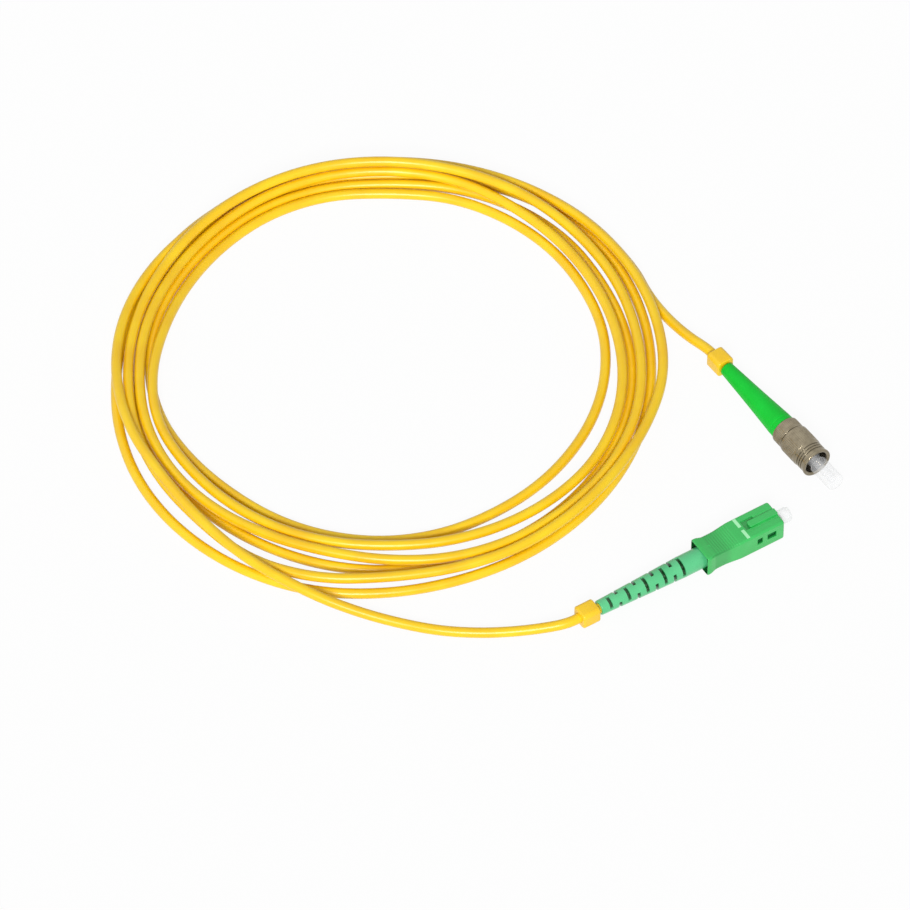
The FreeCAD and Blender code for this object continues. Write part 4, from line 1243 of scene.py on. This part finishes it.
        # painted shade: full in the rear mouth, elsewhere growing with depth under the outside
        write_shade(mesh, np.where(in_mouth, 1.0, np.clip((depth - begins) / growth, 0.0, 1.0)))

    def make_key(self) -> None:
        """The key in the shell's channel: a low rib whose sections shrink at both ends."""
        width, height, length = self.key
        high, tall = self.shell[1], self.half_size()[1]
        sunk = height + self.channel[2] + self.key_sunk
        from_rear, rear_share = np.array(self.key_rear).T
        from_front, front_share = np.array(self.key_front).T
        along = np.concatenate([from_rear, length - from_front]) + high - length
        share = np.concatenate([rear_share, front_share])
        half_width = np.maximum(0.5 * width * share, POLE)
        half_height = np.maximum(0.5 * sunk * share, POLE)
        rounding = MOST_ROUNDED * half_height
        sections = rounded_block(along, half_width, half_height, rounding, columns=48)
        sections[..., 2] += tall + height - 0.5 * sunk
        piece = piece_from_grid("key_rib", self.axis.to_part(sections), ring=False,
                                kind=Finish.SHELL, crease=40.0)
        settle(piece, "sc_grip", "sc_green")

    def make_cap(self) -> None:
        """The clear dust cap: a thin sleeve with a rounded closed nose."""
        rear, front, wide = self.cap
        front_edge, rear_edge = self.cap_edges
        floor = front - self.cap_wall
        outline = rounded_outline([
            Corner(front, 0.0), Corner(front, 0.5 * wide, front_edge),
            Corner(rear, 0.5 * wide, rear_edge), Corner(rear, CAP_BORE),
            Corner(floor, CAP_BORE), Corner(floor, 0.0),
        ], closed=False)
        piece = turned_piece("square_plug_cap", self.axis, outline, Finish.CAP, ring=False)
        settle(piece, "sc_cap", "cap_clear", "sc_dust_cap")


@dataclass
class ScrewPlug:
    """Screw-on plug with a smooth boot, a fine-ridged coupling nut and an inside thread.

    Sizes of round forms are radii here.

    Attributes:
        boot_waist: Place and radius of the boot's slight waist.
        boot_groove: Middle, half width and depth of the groove near the metal.
        boot_socket: Rear end and radius of the hollow for the metal's neck.
        rear: Rear, front and radius of the drum.
        neck: Rear end and radius.
        barrel: Rear end and radius.
        holder_bore: Rear end and radius of the bore for the ferrule's holder.
        front_bore: Rear end and radius of the bore in front of it.
        drum_plain: Length of the drum's plain ends.
        drum_rows: Points along its ridges.
        nut: Rear and front.
        nut_lip: Length of the nut's front lip.
        nut_slope: Length of the slopes between the nut's two radii.
        nut_step: Place of the step between its ridges and its front ring.
        nut_plain: Length of the plain ends behind and in front of the nut's ridges.
        nut_rows: Points along its ridges.
        nut_hole: The hole in its rear wall.
        nut_relief: The wider space between that wall and the thread.
        nut_mouth: How far the mouth's rim stands outside the thread's crest.
        thread: Rear end, radius of the crest and pitch.
        thread_stop: How far behind the nut's front its last row lies.
        thread_fade: How far behind the nut's front the thread ends, and how slowly.
        mouth_dark: How far behind the nut's front the painted shade begins, and how slowly it
            grows.
        line_slope: Length of each wall of a turned line.
        line_edges: Rounding of a turned line's edges, and of its floor.
        ridge_steps: Points round each ridge.
        ridge_fade: Length over which a ridge runs out.
        cap_neck: Rear end and radius.
        cap_grip: Rear, front and radius.
    """

    axis: Axis = SCREW_AXIS
    boot_length: float = 28.0
    boot_tip: float = 2.1
    boot_waist: tuple[float, float] = (14.0, 3.0)
    boot_root: float = 3.9
    boot_groove: tuple[float, float, float] = (26.2, 0.3, 0.14)
    boot_socket: tuple[float, float] = (21.1, 2.9)
    boot_bore: float = 1.55
    rear: tuple[float, float, float] = (28.0, 31.9, 4.4)
    neck: tuple[float, float] = (21.0, 2.85)
    barrel: tuple[float, float] = (13.0, 1.9)
    fibre_hole: float = 0.6
    holder_bore: tuple[float, float] = (21.5, 2.2)
    front_bore: tuple[float, float] = (28.6, 3.1)
    drum_plain: float = 0.5
    drum_rows: int = 14
    nut: tuple[float, float] = (32.1, 43.5)
    nut_radius: float = 4.7
    nut_front_radius: float = 4.52
    nut_lip: float = 0.7
    nut_slope: float = 0.15
    nut_step: float = 38.8
    nut_plain: tuple[float, float] = (0.8, 0.7)
    nut_rows: int = 16
    nut_hole: float = 3.2
    nut_relief: float = 4.0
    nut_relief_rear: float = 35.4
    nut_mouth: float = 0.45
    thread: tuple[float, float, float] = (38.0, 3.65, 0.75)
    thread_depth: float = 0.28
    thread_rows: int = 84
    thread_stop: float = 0.35
    thread_fade: tuple[float, float] = (0.3, 0.4)
    mouth_dark: tuple[float, float] = (0.2, 0.8)
    lines: tuple[float, ...] = (41.6, 40.7, 39.8)
    line_width: float = 0.36
    line_depth: float = 0.2
    line_slope: float = 0.05
    line_edges: tuple[float, float] = (0.05, 0.03)
    line_shade: float = 0.45
    ridge_count: int = 52
    ridge_steps: int = 6
    ridge_depth: float = 0.12
    ridge_fade: float = 0.25
    cap_neck: tuple[float, float] = (33.3, 2.1)
    cap_grip: tuple[float, float, float] = (43.9, 52.7, 2.7)
    cap_wall: float = 1.6

    def build(self) -> None:
        """Make every visible piece of the plug."""
        self.make_boot()
        self.make_rear()
        self.make_nut()
        self.make_cap()

    def make_boot(self) -> None:
        """The boot: a smooth flare with a fine groove where it meets the metal."""
        end, root = self.boot_length, self.boot_root
        groove, half, depth = self.boot_groove
        socket_rear, socket = self.boot_socket
        outline = rounded_outline([
            Corner(0.0, self.boot_bore), Corner(0.0, self.boot_tip, 0.5),
            Corner(*self.boot_waist, 5.0), Corner(groove - half, root, 0.8),
            Corner(groove, root - depth, 0.1), Corner(groove + half, root, 0.1),
            Corner(end, root, 0.3), Corner(end, socket), Corner(socket_rear, socket),
            Corner(socket_rear, self.boot_bore),
        ], steps=6)
        piece = turned_piece("smooth_boot", self.axis, outline, Finish.SMOOTH_BOOT)
        settle(piece, ROOT, "fc_boot_green", "fc_boot")

    def make_rear(self) -> None:
        """The rear body: barrel and neck inside the boot, and the finely ridged drum that shows."""
        low, high, radius = self.rear
        neck_rear, neck = self.neck
        barrel_rear, barrel = self.barrel
        holder_rear, holder = self.holder_bore
        front_rear, front = self.front_bore
        first, last = low + self.drum_plain, high - self.drum_plain
        rows = np.linspace(last, first, self.drum_rows)
        rest = rounded_outline([
            Corner(first, radius), Corner(low, radius, 0.3), Corner(low, neck),
            Corner(neck_rear, neck, 0.2), Corner(neck_rear, barrel), Corner(barrel_rear, barrel),
            Corner(barrel_rear, self.fibre_hole), Corner(holder_rear, self.fibre_hole),
            Corner(holder_rear, holder), Corner(front_rear, holder), Corner(front_rear, front),
            Corner(high, front), Corner(high, radius, 0.3), Corner(last, radius),
        ], closed=False)
        outline = np.concatenate([self.level(rows, radius), rest[1:-1]])
        piece = self.ridged_piece("rear_drum", outline, self.ridges(first, last, radius),
                                  np.zeros(len(outline)))
        settle(piece, ROOT, "nickel", "fc_rear_body")

    @staticmethod
    def level(rows: np.ndarray, radius: float) -> np.ndarray:
        """Points of an outline that runs level at one radius."""
        return np.stack([rows, np.full(len(rows), radius)], axis=-1)

    def ridged_piece(self, name: str, outline: np.ndarray, relief: Relief,
                     depth: np.ndarray) -> bpy.types.Object:
        """Turn a metal piece with enough points round it for the ridges."""
        return turned_piece(name, self.axis, outline, Finish.NICKEL, relief=relief,
                            columns=self.ridge_count * self.ridge_steps, crease=40.0, depth=depth)

    def ridges(self, low: float, high: float, radius: float) -> Relief:
        """Straight ridges: the radius drops by depth times (1 - cos(count * angle)) / 2.

        Args:
            low: Where the ridges begin.
            high: Where they end.
            radius: The plain radius that they are cut into.

        Returns:
            The relief.
        """
        def cut(along: np.ndarray, angle: np.ndarray, out: np.ndarray) -> np.ndarray:
            """Cut the ridges into the outside between low and high.

            Args:
                along: Place of each point along the plug.
                angle: Its angle round the axis.
                out: Its plain radius.

            Returns:
                Its radius with the ridges cut.
            """
            wave = 0.5 - 0.5 * np.cos(self.ridge_count * angle)
            fade = np.clip(np.minimum(along - low, high - along) / self.ridge_fade, 0.0, 1.0)
            return np.where(np.abs(out - radius) < TINY, out - self.ridge_depth * wave * fade, out)
        return cut

    def turned_line(self, middle: float) -> list[Corner]:
        """One turned line on the nut's front ring: a groove with sloping walls.

        Args:
            middle: Its place along.

        Returns:
            Its corners from front to rear.
        """
        half, radius = 0.5 * self.line_width, self.nut_front_radius
        slope, floor = self.line_slope, radius - self.line_depth
        edge, foot = self.line_edges
        return [Corner(middle + half, radius, edge), Corner(middle + half - slope, floor, foot),
                Corner(middle - half + slope, floor, foot), Corner(middle - half, radius, edge)]

    def make_nut(self) -> None:
        """The coupling nut: ridged behind, a front ring with turned lines, and a thread inside.

        The thread's radius is crest + depth * |2 * frac(along / pitch - share of a turn) - 1|.
        """
        low, high = self.nut
        outer, front, step = self.nut_radius, self.nut_front_radius, self.nut_step
        thread_rear, crest, pitch = self.thread
        rim = crest + self.nut_mouth
        ridges_rear, ridges_front = low + self.nut_plain[0], step - self.nut_plain[1]
        lip_rear, beside = high - self.nut_lip, 0.1
        skin = rounded_outline([
            Corner(high, rim, 0.1), Corner(high, outer, 0.3), Corner(lip_rear, outer, 0.15),
            Corner(lip_rear - self.nut_slope, front, 0.1),
            *(corner for line in self.lines for corner in self.turned_line(line)),
            Corner(step, front, 0.1), Corner(step - self.nut_slope, outer, 0.15),
            Corner(ridges_front + beside, outer),
        ], closed=False)
        rear = rounded_outline([
            Corner(ridges_rear - beside, outer), Corner(low, outer, 0.4),
            Corner(low, self.nut_hole, 0.1), Corner(self.nut_relief_rear, self.nut_hole),
            Corner(self.nut_relief_rear, self.nut_relief), Corner(thread_rear, self.nut_relief),
        ], closed=False)
        ridged = np.linspace(ridges_front, ridges_rear, self.nut_rows)
        threaded = np.linspace(thread_rear, high - self.thread_stop, self.thread_rows)
        outline = np.concatenate([skin, self.level(ridged, outer), rear,
                                  self.level(threaded, crest)])
        ridges = self.ridges(ridges_rear, ridges_front, outer)
        thread_end, fade_length = self.thread_fade

        def cut(along: np.ndarray, angle: np.ndarray, out: np.ndarray) -> np.ndarray:
            """Cut the ridges outside and the thread inside.

            Args:
                along: Place of each point along the plug.
                angle: Its angle round the axis.
                out: Its plain radius.

            Returns:
                Its radius with both cut.
            """
            share = along / pitch - angle / (2.0 * math.pi)
            groove = np.abs(2.0 * (share - np.floor(share)) - 1.0)
            fade = np.clip((high - thread_end - along) / fade_length, 0.0, 1.0)
            deeper = out + self.thread_depth * groove * fade
            return ridges(along, angle, np.where(np.abs(out - crest) < TINY, deeper, out))

        place, out = outline.T
        # painted shade: full deep inside the nut's mouth, and line_shade of it in the turned lines'
        # grooves
        dark_begins, dark_growth = self.mouth_dark
        slack = 0.05
        inside = out < rim - slack
        on_ring = (place > step) & (out > rim + slack)
        depth = np.clip((high - dark_begins - place) / dark_growth, 0.0, 1.0) * inside
        depth += self.line_shade * np.clip((front - out) / self.line_depth, 0.0, 1.0) * on_ring
        piece = self.ridged_piece("coupling_nut", outline, cut, depth)
        settle(piece, "fc_nut", "nickel", "fc_coupling_nut")

    def make_cap(self) -> None:
        """The clear dust cap: a neck over the ferrule and a thicker grip with a rounded end."""
        neck_rear, neck = self.cap_neck
        grip_rear, front, grip = self.cap_grip
        floor = front - self.cap_wall
        outline = rounded_outline([
            Corner(front, 0.0), Corner(front, grip, 0.8), Corner(grip_rear, grip, 0.3),
            Corner(grip_rear, neck, 0.15), Corner(neck_rear, neck, 0.15),
            Corner(neck_rear, CAP_BORE), Corner(floor, CAP_BORE), Corner(floor, 0.0),
        ], closed=False)
        piece = turned_piece("screw_plug_cap", self.axis, outline, Finish.CLEAR_CAP, ring=False)
        settle(piece, "fc_cap", "cap_clear", "fc_dust_cap")


# Solids that keep their shape, by finish
PLAIN_NODES: dict[Finish, tuple[str, ...]] = {
    Finish.JACKET: ("cord_end_sc", "cord_end_fc"),
    Finish.PRINT: ("sc_index_marks",),
    Finish.INNER: ("sc_plug_body",),
    Finish.BRIGHT: ("sc_stop_body", "sc_crimp_sleeve", "fc_crimp_sleeve", "sc_ferrule_holder",
                    "fc_ferrule_holder"),
    Finish.YARN: ("sc_yarn_fold", "fc_yarn_fold"),
    Finish.BUFFER: ("sc_buffered_fibre", "fc_buffered_fibre"),
    Finish.CERAMIC: ("sc_ferrule", "fc_ferrule"),
    Finish.NICKEL: ("fc_front_body",),
    Finish.STEEL: ("fc_snap_ring", "sc_spring", "fc_spring"),
}


def dress_nodes() -> None:
    """Give every solid that stays its finish."""
    for kind, names in PLAIN_NODES.items():
        for name in names:
            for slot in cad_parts[name].material_slots:
                slot.material = finish_of(kind)
            LOG.info("%s: %s", name, kind.name.lower())


def main() -> None:
    """Build the camera and the cord, then the plugs, then dress what stays."""
    Studio().build()
    markers = [
        Collar("square_marker", "cable_marker_sc", "sc_marker", SQUARE_AXIS, -1.0).build(),
        Collar("screw_marker", "cable_marker_fc", "fc_marker", SCREW_AXIS, -0.3).build(),
    ]
    Cord().build(markers)
    SquarePlug().build()
    ScrewPlug().build()
    dress_nodes()


if __name__ == "__main__":
    logging.basicConfig(level=logging.INFO)
    main()
